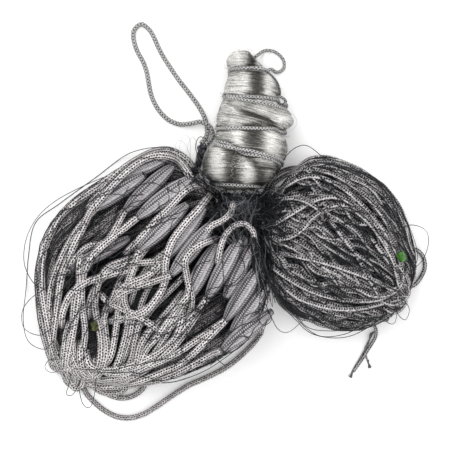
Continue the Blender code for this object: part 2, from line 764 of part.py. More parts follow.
def main():
    clear_scene()
    sleeve = material("grey_sleeve", (0.22, 0.21, 0.215), 0.75)
    dark_cord = material("dark_cord", (0.10, 0.095, 0.10), 0.75)
    foam = material("sleeved_float", (0.24, 0.22, 0.235), 0.6)
    lead_metal = material("sleeved_lead", (0.12, 0.115, 0.12), 0.7)
    pale = material("pale_netting", (0.62, 0.60, 0.56), 0.35)
    black = material("black_netting", (0.02, 0.021, 0.024), 0.6)
    braid = material("braided_cord", (0.30, 0.30, 0.29), 0.7)
    green = material("green_tag", (0.09, 0.32, 0.04), 0.45)
    olive = material("olive_tag", (0.12, 0.13, 0.03), 0.5)

    float_body = float_skein(sleeve)
    lead_body = lead_skein(dark_cord)
    neck_body = neck(black)
    rings = bundle_rings()
    bundle_body = shaped_sphere("netting_bundle", rings, pale)
    tube("bundle_lashing", lashing_route(rings), LASHING, braid)

    ground = Ground([float_body, lead_body, neck_body, bundle_body])
    for number, plan in enumerate(FLOAT_TURNS, 1):
        laid_turn(f"float_line_turn_{number:02d}", plan, FLOAT_LINE, ground, sleeve)
    for number, plan in enumerate(LEAD_TURNS, 1):
        laid_turn(f"lead_line_turn_{number:02d}", plan, LEAD_LINE, ground, dark_cord)
    for number, row in enumerate(FLOAT_TABLE, 1):
        spindle(f"float_{number:02d}", row, FLOAT_LENGTH, FLOAT_RADIUS, FLOAT_TIP, 10, 5, ground, foam)
    for number, row in enumerate(LEAD_TABLE, 1):
        spindle(f"lead_{number:02d}", row, LEAD_LENGTH, LEAD_RADIUS, LEAD_TIP, 8, 3, ground, lead_metal)
    spindle("green_marker", GREEN_MARKER, MARKER_LENGTH, MARKER_RADIUS, MARKER_TIP, 8, 1, ground, green)
    spindle("olive_marker", OLIVE_MARKER, MARKER_LENGTH, MARKER_RADIUS, MARKER_TIP, 8, 1, ground, olive)

    float_tree = tree_of(float_body)
    lead_tree = tree_of(lead_body)
    bundle_tree = tree_of(bundle_body)
    trees = (float_tree, lead_tree, bundle_tree, tree_of(neck_body))
    whipping_and_loop(float_tree, black, braid)
    rooted_cord("trailing_loop", TRAILING_LOOP_ROUTE, FLOAT_LINE, sleeve, float_tree, float_tree, trees)
    rooted_cord("low_loop", LOW_LOOP_ROUTE, FLOAT_LINE, sleeve, float_tree, float_tree, trees)
    rooted_cord("crown_loop", CROWN_LOOP_ROUTE, LASHING, braid, bundle_tree, bundle_tree, trees)
    rooted_cord("side_loop", SIDE_LOOP_ROUTE, SIDE_CORD, dark_cord, lead_tree, lead_tree, trees)
    rooted_cord("tail_end", TAIL_ROUTE, TAIL_CORD, dark_cord, lead_tree, None, trees)


main()
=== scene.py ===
"""Looks of the bundled trammel net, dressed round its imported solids.

Lengths are millimetres in the frame's own axes until a mesh is made, when they become metres.
"""

import math

import bmesh
import bpy
import numpy as np
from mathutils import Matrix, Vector


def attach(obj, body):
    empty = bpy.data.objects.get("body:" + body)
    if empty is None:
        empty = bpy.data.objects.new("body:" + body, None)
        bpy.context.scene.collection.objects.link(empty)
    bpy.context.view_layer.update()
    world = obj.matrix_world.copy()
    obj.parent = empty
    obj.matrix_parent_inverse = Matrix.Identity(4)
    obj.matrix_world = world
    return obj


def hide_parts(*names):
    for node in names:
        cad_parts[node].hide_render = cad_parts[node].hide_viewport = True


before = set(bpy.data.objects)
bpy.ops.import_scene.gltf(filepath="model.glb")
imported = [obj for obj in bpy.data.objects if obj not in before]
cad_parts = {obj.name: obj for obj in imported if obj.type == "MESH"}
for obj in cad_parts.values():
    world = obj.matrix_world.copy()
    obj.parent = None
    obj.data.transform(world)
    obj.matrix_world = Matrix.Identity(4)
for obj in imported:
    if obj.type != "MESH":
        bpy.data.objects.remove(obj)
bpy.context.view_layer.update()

MM = 0.001
ORIGIN = np.array((245.0, 222.0))
RNG = np.random.default_rng(41)
UP = np.array((0.0, 0.0, 1.0))


def plan(x, y):
    """A place on the photograph's layout as x and y in the frame, in millimetres."""
    return x - ORIGIN[0], ORIGIN[1] - y


def laid(route):
    """A listed route as frame points in millimetres; its height is 0 where none is given."""
    return np.array([(*plan(row[0], row[1]), row[2] if len(row) > 2 else 0.0) for row in route])


def columns_at(wanted, known, table):
    """Each column of a table, read at the wanted places."""
    return np.stack([np.interp(wanted, known, column) for column in table.T], axis=1)


def hump(count):
    """That many smoothing weights, which add up to 1."""
    weights = np.hanning(count)
    return weights / weights.sum()


def smoothed(padded, weights):
    """Each column of a padded table, smoothed."""
    return np.stack([np.convolve(column, weights, mode="valid") for column in padded.T], axis=1)


def raise_to(points, least):
    """Lift the points that lie lower than a height."""
    points[:, 2] = np.maximum(points[:, 2], least)


def near_end(distance, reach):
    """1 at an end of a line, and 0 from that reach on."""
    return np.clip(1 - distance / reach, 0, 1) ** 2


def between(start, end, share):
    return start + (end - start) * share[:, None]


# Tables of the wound forms, as the solids have them: left x, left y, right x, right y, height.

FLOAT_ROWS = (
    (205, 189, 255, 260, 42), (188, 167, 263, 284, 54), (165, 152, 266, 306, 60),
    (140, 156, 255, 327, 64), (115, 170, 239, 344, 66), (92, 187, 216, 359, 66),
    (70, 203, 191, 371, 63), (52, 222, 166, 378, 60), (41, 246, 141, 380, 56),
    (36, 276, 118, 379, 50), (38, 306, 98, 375, 42), (45, 335, 82, 369, 32),
    (54, 353, 70, 364, 20),
)
LEAD_ROWS = (
    (259, 242, 271, 199, 40), (262, 262, 285, 180, 51), (270, 284, 304, 160, 58),
    (282, 302, 328, 156, 62), (297, 316, 351, 163, 63), (314, 324, 372, 177, 62),
    (333, 329, 389, 196, 60), (352, 329, 402, 218, 56), (369, 326, 411, 242, 50),
    (382, 320, 415, 264, 43), (391, 313, 411, 284, 33), (396, 307, 404, 297, 20),
)
BUNDLE_ROWS = (
    (226, 190, 254, 190, 34), (212, 184, 266, 184, 52), (204, 173, 276, 173, 60),
    (203, 161, 285, 161, 62), (208, 150, 287, 150, 61), (216, 141, 285, 141, 57),
    (215, 131, 286, 131, 58), (217, 121, 291, 121, 57), (220, 112, 283, 112, 54),
    (222, 103, 279, 103, 51), (223, 94, 280, 94, 52), (226, 84, 278, 84, 49),
    (229, 75, 272, 75, 44), (228, 66, 262, 66, 42), (229, 57, 255, 57, 38),
    (236, 50, 248, 50, 26),
)
NECK_ROWS = (
    (215.2, 190.5, 265.6, 190.5, 34), (215.2, 197, 266.6, 197, 42), (218.2, 203, 265.6, 203, 46),
    (222.2, 211, 263.6, 211, 47), (230.2, 221, 261.6, 221, 46), (238.2, 231, 259.6, 231, 42),
    (245.2, 240, 257.6, 240, 34),
)
BELT_SHARE = 0.34
UNDER_DEPTH = 1.6
FULLNESS = 0.82
HOLLOW = (112, 318, 26, 20)
BUNDLE_FLOOR = 4.0

# The lashing's way up the bundle: turns made from the right edge over the top, and the layout y there.
LASHING_WAY = (
    (0.05, 186), (0.5, 183), (1.0, 168), (1.5, 144), (2.0, 132), (2.5, 130), (3.0, 102),
    (3.5, 98), (4.0, 73), (4.5, 70),
)
LASHING = 1.7
GROOVE_DEPTH = 2.6
GROOVE_WIDTH = 4.5

# Creases between the bundle's lobes: x and y of one end, x and y of the other, depth, width.
BUNDLE_CREASES = (
    (212, 140, 226, 145, 5.0, 3.2), (226, 145, 245, 157, 7.0, 3.2), (245, 157, 258, 168, 7.0, 3.2),
    (258, 168, 280, 170, 6.0, 3.2), (229, 106, 247, 116, 6.0, 3.2), (247, 116, 265, 122, 6.5, 3.2),
    (265, 122, 284, 136, 7.0, 3.2), (254, 44, 252, 68, 7.0, 4.0),
)

# The bundle's lobes: layout x and y of the middle, half width, half height, how far it swells.
BUNDLE_LOBES = (
    (234, 59, 8, 8, 2.5), (252, 86, 18, 9, 2.0), (230, 115, 13, 12, 2.5), (285, 121, 8, 8, 4.5),
    (258, 104, 14, 6, 1.5), (266, 147, 18, 11, 3.0), (219, 170, 14, 16, 4.0), (258, 181, 14, 7, 1.5),
)

# How far a wrap of fine netting falls from the bundle's left edge to its right, by layout y.
WRAP_FALL = ((50, 0), (75, 3), (95, 10), (115, 22), (135, 20), (150, 10), (170, 4), (190, 0))

# Where wraps of fine netting shine and where they are dim: layout x, from y, to y, gain, width.
SHEEN = (
    (234, 46, 70, 0.16, 7), (250, 46, 70, -0.30, 4), (240, 74, 99, 0.16, 8), (256, 72, 99, -0.66, 6.5),
    (268, 74, 99, 0.34, 4.5), (277, 74, 99, -0.26, 4), (232, 102, 118, 0.12, 8), (250, 100, 112, -0.26, 7),
    (262, 102, 118, 0.16, 7), (281, 112, 132, 0.20, 7), (236, 125, 150, 0.34, 5.5), (253, 123, 160, -0.62, 8.5),
    (271, 128, 168, 0.34, 6), (283, 140, 160, -0.2, 4), (217, 146, 188, 0.34, 5.5), (232, 146, 188, -0.66, 7),
    (247, 158, 188, 0.36, 5), (259, 168, 188, -0.50, 5), (205, 148, 184, -0.34, 5),
)


# Shader values and finishes

class Value:
    """A shader socket that Python arithmetic extends with Math nodes."""

    def __init__(self, finish, socket):
        self.finish = finish
        self.socket = socket

    def math(self, operation, *others):
        return self.finish.node("ShaderNodeMath", {"operation": operation}, self, *others)

    def __add__(self, other):
        return self.math("ADD", other)

    __radd__ = __add__

    def __sub__(self, other):
        return self.math("SUBTRACT", other)

    def __rsub__(self, other):
        return self.finish.node("ShaderNodeMath", {"operation": "SUBTRACT"}, other, self)

    def __mul__(self, other):
        return self.math("MULTIPLY", other)

    __rmul__ = __mul__

    def sine(self):
        return self.math("SINE")

    def size(self):
        return self.math("ABSOLUTE")

    def higher(self, other):
        return self.math("MAXIMUM", other)

    def clipped(self):
        return self.higher(0.0).math("MINIMUM", 1.0)

    def power(self, exponent):
        return self.math("POWER", exponent)


class Finish:
    """A procedural material built on one Principled shader."""

    def __init__(self, name, gloss=0.5, **constants):
        self.material = bpy.data.materials.new(name)
        self.material.use_nodes = True
        self.tree = self.material.node_tree
        self.shader = self.tree.nodes["Principled BSDF"]
        self.shader.inputs["Specular IOR Level"].default_value = gloss
        for socket, constant in constants.items():
            self.shader.inputs[socket.replace("_", " ").title()].default_value = constant

    def node(self, kind, settings=None, *sockets, output=0, **named):
        """Add a node: its settings first, then its sockets in order or by name."""
        made = self.tree.nodes.new(kind)
        for setting, choice in (settings or {}).items():
            if setting == "stops":
                self.set_stops(made, choice)
            else:
                setattr(made, setting, choice)
        filled = list(zip(made.inputs, sockets))
        filled += [(made.inputs[name.replace("_", " ").title()], value) for name, value in named.items()]
        for socket, value in filled:
            self.fill(socket, value)
        return Value(self, made.outputs[output])

    def fill(self, socket, value):
        if isinstance(value, Value):
            self.tree.links.new(value.socket, socket)
        elif value is not None:
            socket.default_value = value

    def set_stops(self, ramp, stops):
        elements = ramp.color_ramp.elements
        while len(elements) < len(stops):
            elements.new(0.5)
        for element, (place, colour) in zip(elements, stops):
            element.position = place
            element.color = (*colour, 1.0)

    def place(self):
        return self.node("ShaderNodeTexCoord", output=3)

    def around_and_along(self):
        uv = self.node("ShaderNodeUVMap", {"uv_map": "lay"})
        return self.node("ShaderNodeSeparateXYZ", None, uv), self.node("ShaderNodeSeparateXYZ", None, uv, output=1)

    def attribute(self, name):
        return self.node("ShaderNodeAttribute", {"attribute_name": name}, output=2)

    def noise(self, scale, detail=2.0, where=None, roughness=0.5):
        return self.node("ShaderNodeTexNoise", {}, Vector=where or self.place(), Scale=scale,
                         Detail=detail, Roughness=roughness)

    def ramp(self, value, *stops):
        return self.node("ShaderNodeValToRGB", {"stops": stops}, value)

    def blend(self, share, first, second, kind="MIX"):
        made = self.tree.nodes.new("ShaderNodeMix")
        made.data_type = "RGBA"
        made.blend_type = kind
        for socket, value in ((made.inputs[0], share), (made.inputs[6], first), (made.inputs[7], second)):
            if not isinstance(value, Value) and not isinstance(value, float):
                value = (*value, 1.0)
            self.fill(socket, value)
        return Value(self, made.outputs[2])

    def bump(self, height, strength, distance):
        bumped = self.node("ShaderNodeBump", None, Strength=strength, Distance=distance, Height=height)
        self.fill(self.shader.inputs["Normal"], bumped)

    def colour(self, value):
        self.fill(self.shader.inputs["Base Color"], value)

    def rough(self, value):
        self.fill(self.shader.inputs["Roughness"], value)


def soil_and_painted_shade(made, shade_and_soil_level):
    """How bright a piece is: patches of real soil, and its tone, which carries painted shade as well as random
    tone.
    """
    soil = made.noise(22.0, 3.0)
    share = (made.attribute("tone") * 0.8 + soil * 0.3 - 0.05).clipped()
    # The darkest colour stands for soil and for painted shade alike.
    return made.blend(share, (shade_and_soil_level, shade_and_soil_level * 0.97, shade_and_soil_level * 0.99), (1.12, 1.12, 1.12))


def yarn_surface(made, height, raised, light, dark, shade_and_soil_level, relief):
    """Colour, gloss and relief from how high the yarns stand; the colour darkens where they sink, painted shade in
    the gaps between yarns.
    """
    # Painted shade: the dark colour where the yarns sink, multiplied by soil and by the tone's painted shade.
    made.colour(made.blend(1.0, made.blend(raised, dark, light), soil_and_painted_shade(made, shade_and_soil_level), "MULTIPLY"))
    made.rough(height * -0.15 + 0.82)
    made.bump(height, 0.9, relief)
    return made.material


def braided_finish(name, light, dark, repeats, pitch, relief, speckle):
    """Cord braided of crossing yarns, read from the piece's own map round and along it."""
    made = Finish(name, 0.15, roughness=0.72)
    around, along = made.around_and_along()
    turn = around * (2 * math.pi * repeats)
    run = along * (2 * math.pi / pitch)
    yarn = (turn + run).sine().higher((turn - run).sine())
    height = (yarn * 0.75 + 0.25).clipped()
    fine = made.noise(1500.0, 2.0)
    raised = (height + (fine - 0.5) * speckle * 2.0).clipped()
    return yarn_surface(made, height, raised, light, dark, 0.1, relief)


def knitted_finish(name, light, dark, wales, pitch, relief, speckle=0.5, shade_and_soil_level=0.07, shift=0.0):
    """Line with a knitted sleeve: lengthwise wales of stitches, with painted shade in the gap beside each stitch.
    """
    made = Finish(name, 0.15, roughness=0.72)
    around, along = made.around_and_along()
    turn = around * (math.pi * wales) + shift
    groove = 1.0 - turn.sine().size()
    uneven = made.noise(170.0, 2.0) * 4.0
    stitch = (along * (2 * math.pi / pitch) + turn.math("COSINE") * (math.pi / 2) + uneven).sine() * 0.5 + 0.5
    height = 1.0 - (groove * 1.8).clipped() * (stitch * 1.2 + 0.1).clipped()
    fine = made.noise(620.0, 3.0, roughness=0.75)
    raised = (height * 1.1 + (fine - 0.5) * speckle * 5.5 - 0.32).clipped()
    return yarn_surface(made, height, raised, light, dark, shade_and_soil_level, relief)


def sleeve_finish():
    """The knitted sleeve stretched over a float: pale lengthwise bands crossed by fine courses, with painted
    highlight streaks along it.
    """
    made = Finish("stretched_knit", 0.35, roughness=0.42)
    around, along = made.around_and_along()
    turn = around * (math.pi * 14)
    band = turn.sine().size().power(0.6)
    # Painted highlight: narrow bright streaks that run along the float.
    highlight_streaks = (around * (math.pi * 4) + 0.8).sine().size().power(4.0)
    course = (along * (2 * math.pi / 0.0023) + turn.math("COSINE") * (math.pi / 2)).sine() * 0.5 + 0.5
    fine = made.noise(700.0, 2.0)
    rib = (band * (course * 0.75 + 0.3) * (1.0 - highlight_streaks) + highlight_streaks * 0.9 + (fine - 0.5) * 0.6).clipped()
    body = made.ramp(rib, (0.0, (0.03, 0.027, 0.031)), (0.38, (0.10, 0.092, 0.10)),
                     (0.72, (0.24, 0.228, 0.24)), (1.0, (0.60, 0.58, 0.595)))
    made.colour(made.blend(1.0, body, soil_and_painted_shade(made, 0.45), "MULTIPLY"))
    made.rough(course * -0.12 + 0.48)
    made.bump(band * 0.75 + course * 0.25, 0.9, 0.0008)
    return made.material


def twine_finish(name, dark, light, lay_share=0.35):
    """Laid twine or single fibre, lighter or darker by its tone."""
    made = Finish(name, 0.2, roughness=0.55)
    around, along = made.around_and_along()
    lay = ((around * (2 * math.pi * 2)) + along * (2 * math.pi / 0.0016)).sine() * 0.5 + 0.5
    tone = made.attribute("tone")
    made.colour(made.blend((lay * lay_share + tone * (1 - lay_share)).clipped(), dark, light))
    made.bump(lay, 0.5, 0.00015)
    return made.material


def core_finish(name, dark, light):
    """The deep mass of dark netting between the turns of line."""
    made = Finish(name, 0.05, roughness=0.8)
    coarse = made.noise(160.0, 4.0, roughness=0.7)
    fine = made.noise(900.0, 3.0)
    lift = (coarse * 0.7 + fine * 0.5 - 0.1).clipped()
    made.colour(made.ramp(lift, (0.35, dark), (0.8, light)))
    made.bump(lift, 1.0, 0.0015)
    return made.material


def silver_finish():
    """Fine pale netting wound tight: glossy fibres that run round the bundle."""
    made = Finish("silver_fibre", roughness=0.3, metallic=0.35)
    tone = made.attribute("tone")
    grain = made.noise(620.0, 3.0)
    level = (tone + (grain - 0.5) * 0.55).clipped()
    # The tone carries painted sheen and shade, which this ramp turns into near-white highlights and dark bands.
    made.colour(made.ramp(level, (0.0, (0.075, 0.073, 0.066)), (0.35, (0.30, 0.295, 0.275)),
                          (0.60, (0.60, 0.59, 0.56)), (0.92, (1.0, 0.99, 0.96))))
    made.rough(grain * 0.2 + 0.2)
    return made.material


def plastic_finish(name, light, dark):
    """Creased sheet plastic, its colour darker and lighter with the creases: painted shade and light."""
    made = Finish(name, roughness=0.35)
    crease = made.noise(240.0, 3.0)
    made.colour(made.ramp(crease, (0.35, dark), (0.62, light)))
    made.bump(crease, 0.6, 0.0006)
    return made.material


# Tubes of any number, joined into one mesh

def unit(vectors):
    return vectors / np.maximum(np.linalg.norm(vectors, axis=-1, keepdims=True), 1e-9)


def travelled(points):
    return np.concatenate([[0], np.cumsum(np.linalg.norm(np.diff(points, axis=0), axis=1))])


def resampled(points, step):
    """Points a step apart along a polyline; columns after the third ride along."""
    along = travelled(points[:, :3])
    wanted = np.linspace(0, along[-1], max(3, round(along[-1] / step) + 1))
    return columns_at(wanted, along, points)


def smooth_route(points, step):
    """Points a step apart on a smooth curve through the given ones."""
    known = np.asarray(points, float)
    padded = np.vstack([2 * known[0] - known[1], known, 2 * known[-1] - known[-2]])
    share = np.linspace(0, 1, 16, endpoint=False)[:, None]
    fine = []
    for i in range(1, len(padded) - 2):
        a, b, c, d = padded[i - 1:i + 3]
        fine.append(0.5 * (2 * b + (c - a) * share + (2 * a - 5 * b + 4 * c - d) * share ** 2
                           + (3 * b - a - 3 * c + d) * share ** 3))
    return resampled(np.vstack(fine + [known[-1:]]), step)


def carried_ups(tangents):
    """A direction square to each tangent, carried along without twist."""
    first = np.cross(tangents[0], UP)
    if np.linalg.norm(first) < 0.1:
        first = np.array((1.0, 0.0, 0.0))
    up = np.cross(first, tangents[0])
    ups = []
    for tangent in tangents:
        up = up - tangent * up.dot(tangent)
        up = up / max(np.linalg.norm(up), 1e-9)
        ups.append(up)
    return np.array(ups)


class Strands:
    """Many round or flattened tubes, gathered for one mesh."""

    def __init__(self, sides):
        self.sides = sides
        self.vertices, self.tones, self.maps, self.rings = [], [], [], []

    def add(self, points, radius, ups=None, flat=1.0, tone=0.5, relief=None, shade=0.0):
        """One tube through points, with its radius, tone and flatness.

        Relief varies its surface, and shade is how much painted shade darkens its flanks against its upper side.
        """
        count = len(points)
        radii = np.broadcast_to(np.asarray(radius, float), (count,))
        tangents = unit(np.gradient(points, axis=0))
        ups = carried_ups(tangents) if ups is None else ups
        sides_way = unit(np.cross(tangents, ups))
        normals = np.cross(sides_way, tangents)
        angle = np.linspace(0, 2 * math.pi, self.sides, endpoint=False)
        reach = np.broadcast_to(radii[:, None], (count, self.sides))
        along = travelled(points)
        if relief is not None:
            reach = reach * relief(angle[None, :], along[:, None])
        across = np.cos(angle)[None, :, None] * sides_way[:, None, :]
        lifted = (np.sin(angle) * flat)[None, :, None] * normals[:, None, :]
        ring = points[:, None, :] + reach[:, :, None] * (across + lifted)
        self.vertices.append(ring.reshape(-1, 3))
        # Painted shade: the tube's flanks are darker than its upper side, as if shaded by its neighbours.
        flank_shade = shade * (1 - np.clip(np.sin(angle), 0, 1)) ** 2.4
        self.tones.append((np.broadcast_to(np.asarray(tone, float), (count,))[:, None] - flank_shade).ravel())
        self.maps.append(along)
        self.rings.append(count)

    def mesh(self, name, finish, slot):
        """The joined mesh as a piece of the net."""
        sides, quads, caps, quad_uv, cap_uv, start = self.sides, [], [], [], [], 0
        column = np.arange(sides)
        after = (column + 1) % sides
        for count, along in zip(self.rings, self.maps):
            row = start + sides * np.arange(count)[:, None]
            a, b = row[:-1] + column, row[:-1] + after
            c, d = row[1:] + after, row[1:] + column
            quads.append(np.stack([a, b, c, d], axis=2).reshape(-1, 4))
            caps.append(np.stack([start + column[::-1], start + sides * (count - 1) + column]))
            u0, u1 = column / sides, (column + 1) / sides
            v0 = np.broadcast_to((along[:-1] * MM)[:, None], (count - 1, sides))
            v1 = np.broadcast_to((along[1:] * MM)[:, None], (count - 1, sides))
            u0, u1 = np.broadcast_to(u0, v0.shape), np.broadcast_to(u1, v0.shape)
            quad_uv.append(np.stack([u0, v0, u1, v0, u1, v1, u0, v1], axis=2).reshape(-1, 8))
            cap_uv.append(np.zeros((2, sides * 2)))
            start += sides * count
        quads, caps = np.vstack(quads), np.vstack(caps)
        uvs = np.concatenate([np.vstack(quad_uv).ravel(), np.vstack(cap_uv).ravel()])
        made = mesh_of(name, np.vstack(self.vertices), [quads, caps], uvs, np.concatenate(self.tones))
        return piece(name, made, finish)


def mesh_of(name, points, faces, uvs, tones):
    """A mesh from its points in millimetres, blocks of faces, map and tones."""
    corners = np.concatenate([block.ravel() for block in faces])
    totals = np.concatenate([np.full(len(block), block.shape[1]) for block in faces])
    mesh = bpy.data.meshes.new(name)
    mesh.vertices.add(len(points))
    mesh.vertices.foreach_set("co", (points * MM).ravel())
    mesh.loops.add(len(corners))
    mesh.loops.foreach_set("vertex_index", corners.astype(np.int32))
    mesh.polygons.add(len(totals))
    mesh.polygons.foreach_set("loop_start", np.concatenate([[0], np.cumsum(totals)[:-1]]).astype(np.int32))
    mesh.update(calc_edges=True)
    mesh.uv_layers.new(name="lay").data.foreach_set("uv", uvs)
    mesh.attributes.new("tone", "FLOAT", "POINT").data.foreach_set("value", tones)
    mesh.shade_smooth()
    return mesh


def piece(name, mesh, finish):
    """A new object of the net that rides on its one body."""
    obj = bpy.data.objects.new(name, mesh)
    bpy.context.scene.collection.objects.link(obj)
    mesh.materials.append(finish)
    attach(obj, "root")
    return obj


# The wound forms

def section(row, floor):
    """Points round one section, evenly spaced, in the frame's millimetres."""
    left, right = np.array(plan(*row[0:2])), np.array(plan(*row[2:4]))
    height, centre, half = row[4], (left + right) / 2, (right - left) / 2
    length = np.linalg.norm(half)
    belt = BELT_SHARE * height
    angle = np.linspace(0, 2 * math.pi, 721)
    across = length * np.sign(np.cos(angle)) * np.abs(np.cos(angle)) ** FULLNESS
    reach = np.where(np.sin(angle) > 0, height - belt, UNDER_DEPTH * belt)
    up = np.maximum(belt + reach * np.sign(np.sin(angle)) * np.abs(np.sin(angle)) ** FULLNESS, floor)
    along = np.concatenate([[0], np.cumsum(np.hypot(np.diff(across), np.diff(up)))])
    wanted = np.linspace(0, along[-1], WoundForm.TURNS + 1)
    x, z = np.interp(wanted, along, across), np.interp(wanted, along, up)
    way = half / length
    return np.stack([centre[0] + way[0] * x, centre[1] + way[1] * x, z], axis=1)


class WoundForm:
    """The outer form of a skein or bundle: a station along it and a turn round it give a place.

    Turn 0 is its right edge, 0.25 about its top and 0.5 its left edge.
    """

    STATIONS = 140
    TURNS = 240

    def __init__(self, rows, floor=0.0, shaping=None):
        table = smooth_rows(rows, self.STATIONS + 1)
        rings = np.array([section(row, floor) for row in table])
        plain = rings.copy()
        if shaping is not None:
            rings = shaping(rings, table)
        self.rings = rings
        self.middles = rings[:, :-1].mean(axis=1)
        reach, full = (np.linalg.norm(some - self.middles[:, None], axis=2, keepdims=True)
                       for some in (rings, plain))
        self.sunk = np.maximum(full - reach, 0)
        run = np.gradient(rings, axis=0)
        turn = np.gradient(rings, axis=1)
        turn[:, 0] = turn[:, -1] = rings[:, 1] - rings[:, -2]
        normals = unit(np.cross(run, turn))
        outward = (normals * (rings - self.middles[:, None, :])).sum(axis=2)
        self.normals = normals * np.sign(outward)[:, :, None]
        far = (self.middles[-1] - self.middles[-6]) * (1, 1, 0)
        self.far_way = unit(far)

    def at(self, station, turn):
        """Places and outward directions for arrays of stations and turns."""
        down = np.clip(np.asarray(station, float), 0, 1) * self.STATIONS
        round_it = (np.asarray(turn, float) % 1.0) * self.TURNS
        i = np.minimum(down.astype(int), self.STATIONS - 1)
        j = np.minimum(round_it.astype(int), self.TURNS - 1)
        a, b = (down - i)[:, None], (round_it - j)[:, None]
        out = []
        for table in (self.rings, self.normals, self.sunk):
            low = table[i, j] * (1 - b) + table[i, j + 1] * b
            high = table[i + 1, j] * (1 - b) + table[i + 1, j + 1] * b
            out.append(low * (1 - a) + high * a)
        self.depth_there = out[2][:, 0]
        return out[0], unit(out[1])

    def station_at(self, y):
        """The station whose middle is at a layout y, on a form that lies straight up the layout."""
        return np.interp(ORIGIN[1] - np.asarray(y), self.middles[:, 1], np.linspace(0, 1, self.STATIONS + 1))


def smooth_rows(rows, count):
    """The section rows on a smooth curve, at evenly spaced stations."""
    table = np.array(rows, float)
    known = np.arange(len(table))
    stations = np.linspace(0, len(table) - 1, count)
    straight = columns_at(stations, known, table)
    width = max(3, round(count / len(table)))
    padded = np.pad(straight, ((width, width), (0, 0)), mode="reflect", reflect_type="odd")
    return smoothed(padded, hump(2 * width + 1))


def rumple(rings, size, seed):
    """The uneven lie of a wound form: its upper side a little fuller or emptier from place to place."""
    luck = np.random.default_rng(seed)
    run = np.linspace(0, 1, rings.shape[0])[:, None]
    turn = np.linspace(0, 1, rings.shape[1])[None, :]
    swell = np.zeros(rings.shape[:2])
    for _ in range(14):
        waves, rounds = luck.uniform(0.5, 3.5), luck.integers(2, 8)
        swell += np.sin(2 * math.pi * (waves * run + rounds * turn + luck.random()))
    outward = unit(rings - rings.mean(axis=1, keepdims=True))
    fade = np.sin(math.pi * run)[:, :, None] ** 0.5
    return rings + outward * (size * swell / math.sqrt(7))[:, :, None] * fade


def rumple_lead(rings, table):
    return rumple(rings, 1.3, 7)


def above_belt(rings, table):
    """0 up to a form's widest line, and 1 at its top."""
    return np.clip(rings[:, :, 2] / table[:, None, 4] - BELT_SHARE, 0, 1) / (1 - BELT_SHARE)


def sink_hollow(rings, table):
    """The open middle of the float line's skein, in its uneven form."""
    rings = rumple(rings, 1.0, 3)
    x, y = plan(HOLLOW[0], HOLLOW[1])
    away = np.hypot(rings[:, :, 0] - x, rings[:, :, 1] - y) / HOLLOW[2]
    upper = above_belt(rings, table)
    rings[:, :, 2] -= HOLLOW[3] * np.minimum(1, 2 * upper) * np.exp(-away * away)
    return rings


def draw_in_lobes(rings, table):
    """The groove that the lashing draws in the wound netting, and the creases between its lobes."""
    x, y = rings[:, :, 0] + ORIGIN[0], ORIGIN[1] - rings[:, :, 1]
    ways, levels = zip(*LASHING_WAY)
    round_it = np.linspace(0, 1, rings.shape[1])[None, :]
    share = np.zeros(x.shape)
    for whole in range(math.ceil(ways[-1])):
        turns = whole + round_it
        away = (y - np.interp(turns, ways, levels)) / GROOVE_WIDTH
        share = np.maximum(share, np.where((turns >= ways[0]) & (turns <= ways[-1]), np.exp(-away * away), 0))
    middle_x = ((table[:, 0] + table[:, 2]) / 2 - ORIGIN[0])[:, None]
    middle_z = (BELT_SHARE * table[:, 4])[:, None]
    out_x, out_z = rings[:, :, 0] - middle_x, rings[:, :, 2] - middle_z
    kept = 1 - GROOVE_DEPTH * share / np.maximum(np.hypot(out_x, out_z), GROOVE_DEPTH)
    upper = above_belt(rings, table)
    deepest = np.zeros(x.shape)
    for x0, y0, x1, y1, depth, width in BUNDLE_CREASES:
        line = np.array((x1 - x0, y1 - y0), float)
        part = np.clip(((x - x0) * line[0] + (y - y0) * line[1]) / (line @ line), 0, 1)
        away = np.hypot(x - x0 - part * line[0], y - y0 - part * line[1]) / width
        deepest = np.maximum(deepest, depth * np.minimum(1, 2 * upper) * np.exp(-away * away))
    swell = np.zeros(x.shape)
    facing = np.clip(rings[:, :, 2] / table[:, None, 4] * 3, 0, 1)
    for lobe_x, lobe_y, wide, high, most in BUNDLE_LOBES:
        away = ((x - lobe_x) / wide) ** 2 + ((y - lobe_y) / high) ** 2
        swell += most * facing * np.exp(-away * away)
    kept += swell * (1 - share) / np.maximum(np.hypot(out_x, out_z), 4.0)
    shaped = rings.copy()
    shaped[:, :, 0] = middle_x + out_x * kept
    shaped[:, :, 2] = np.maximum(BUNDLE_FLOOR, middle_z + out_z * kept - deepest)
    return shaped


# What lies on what

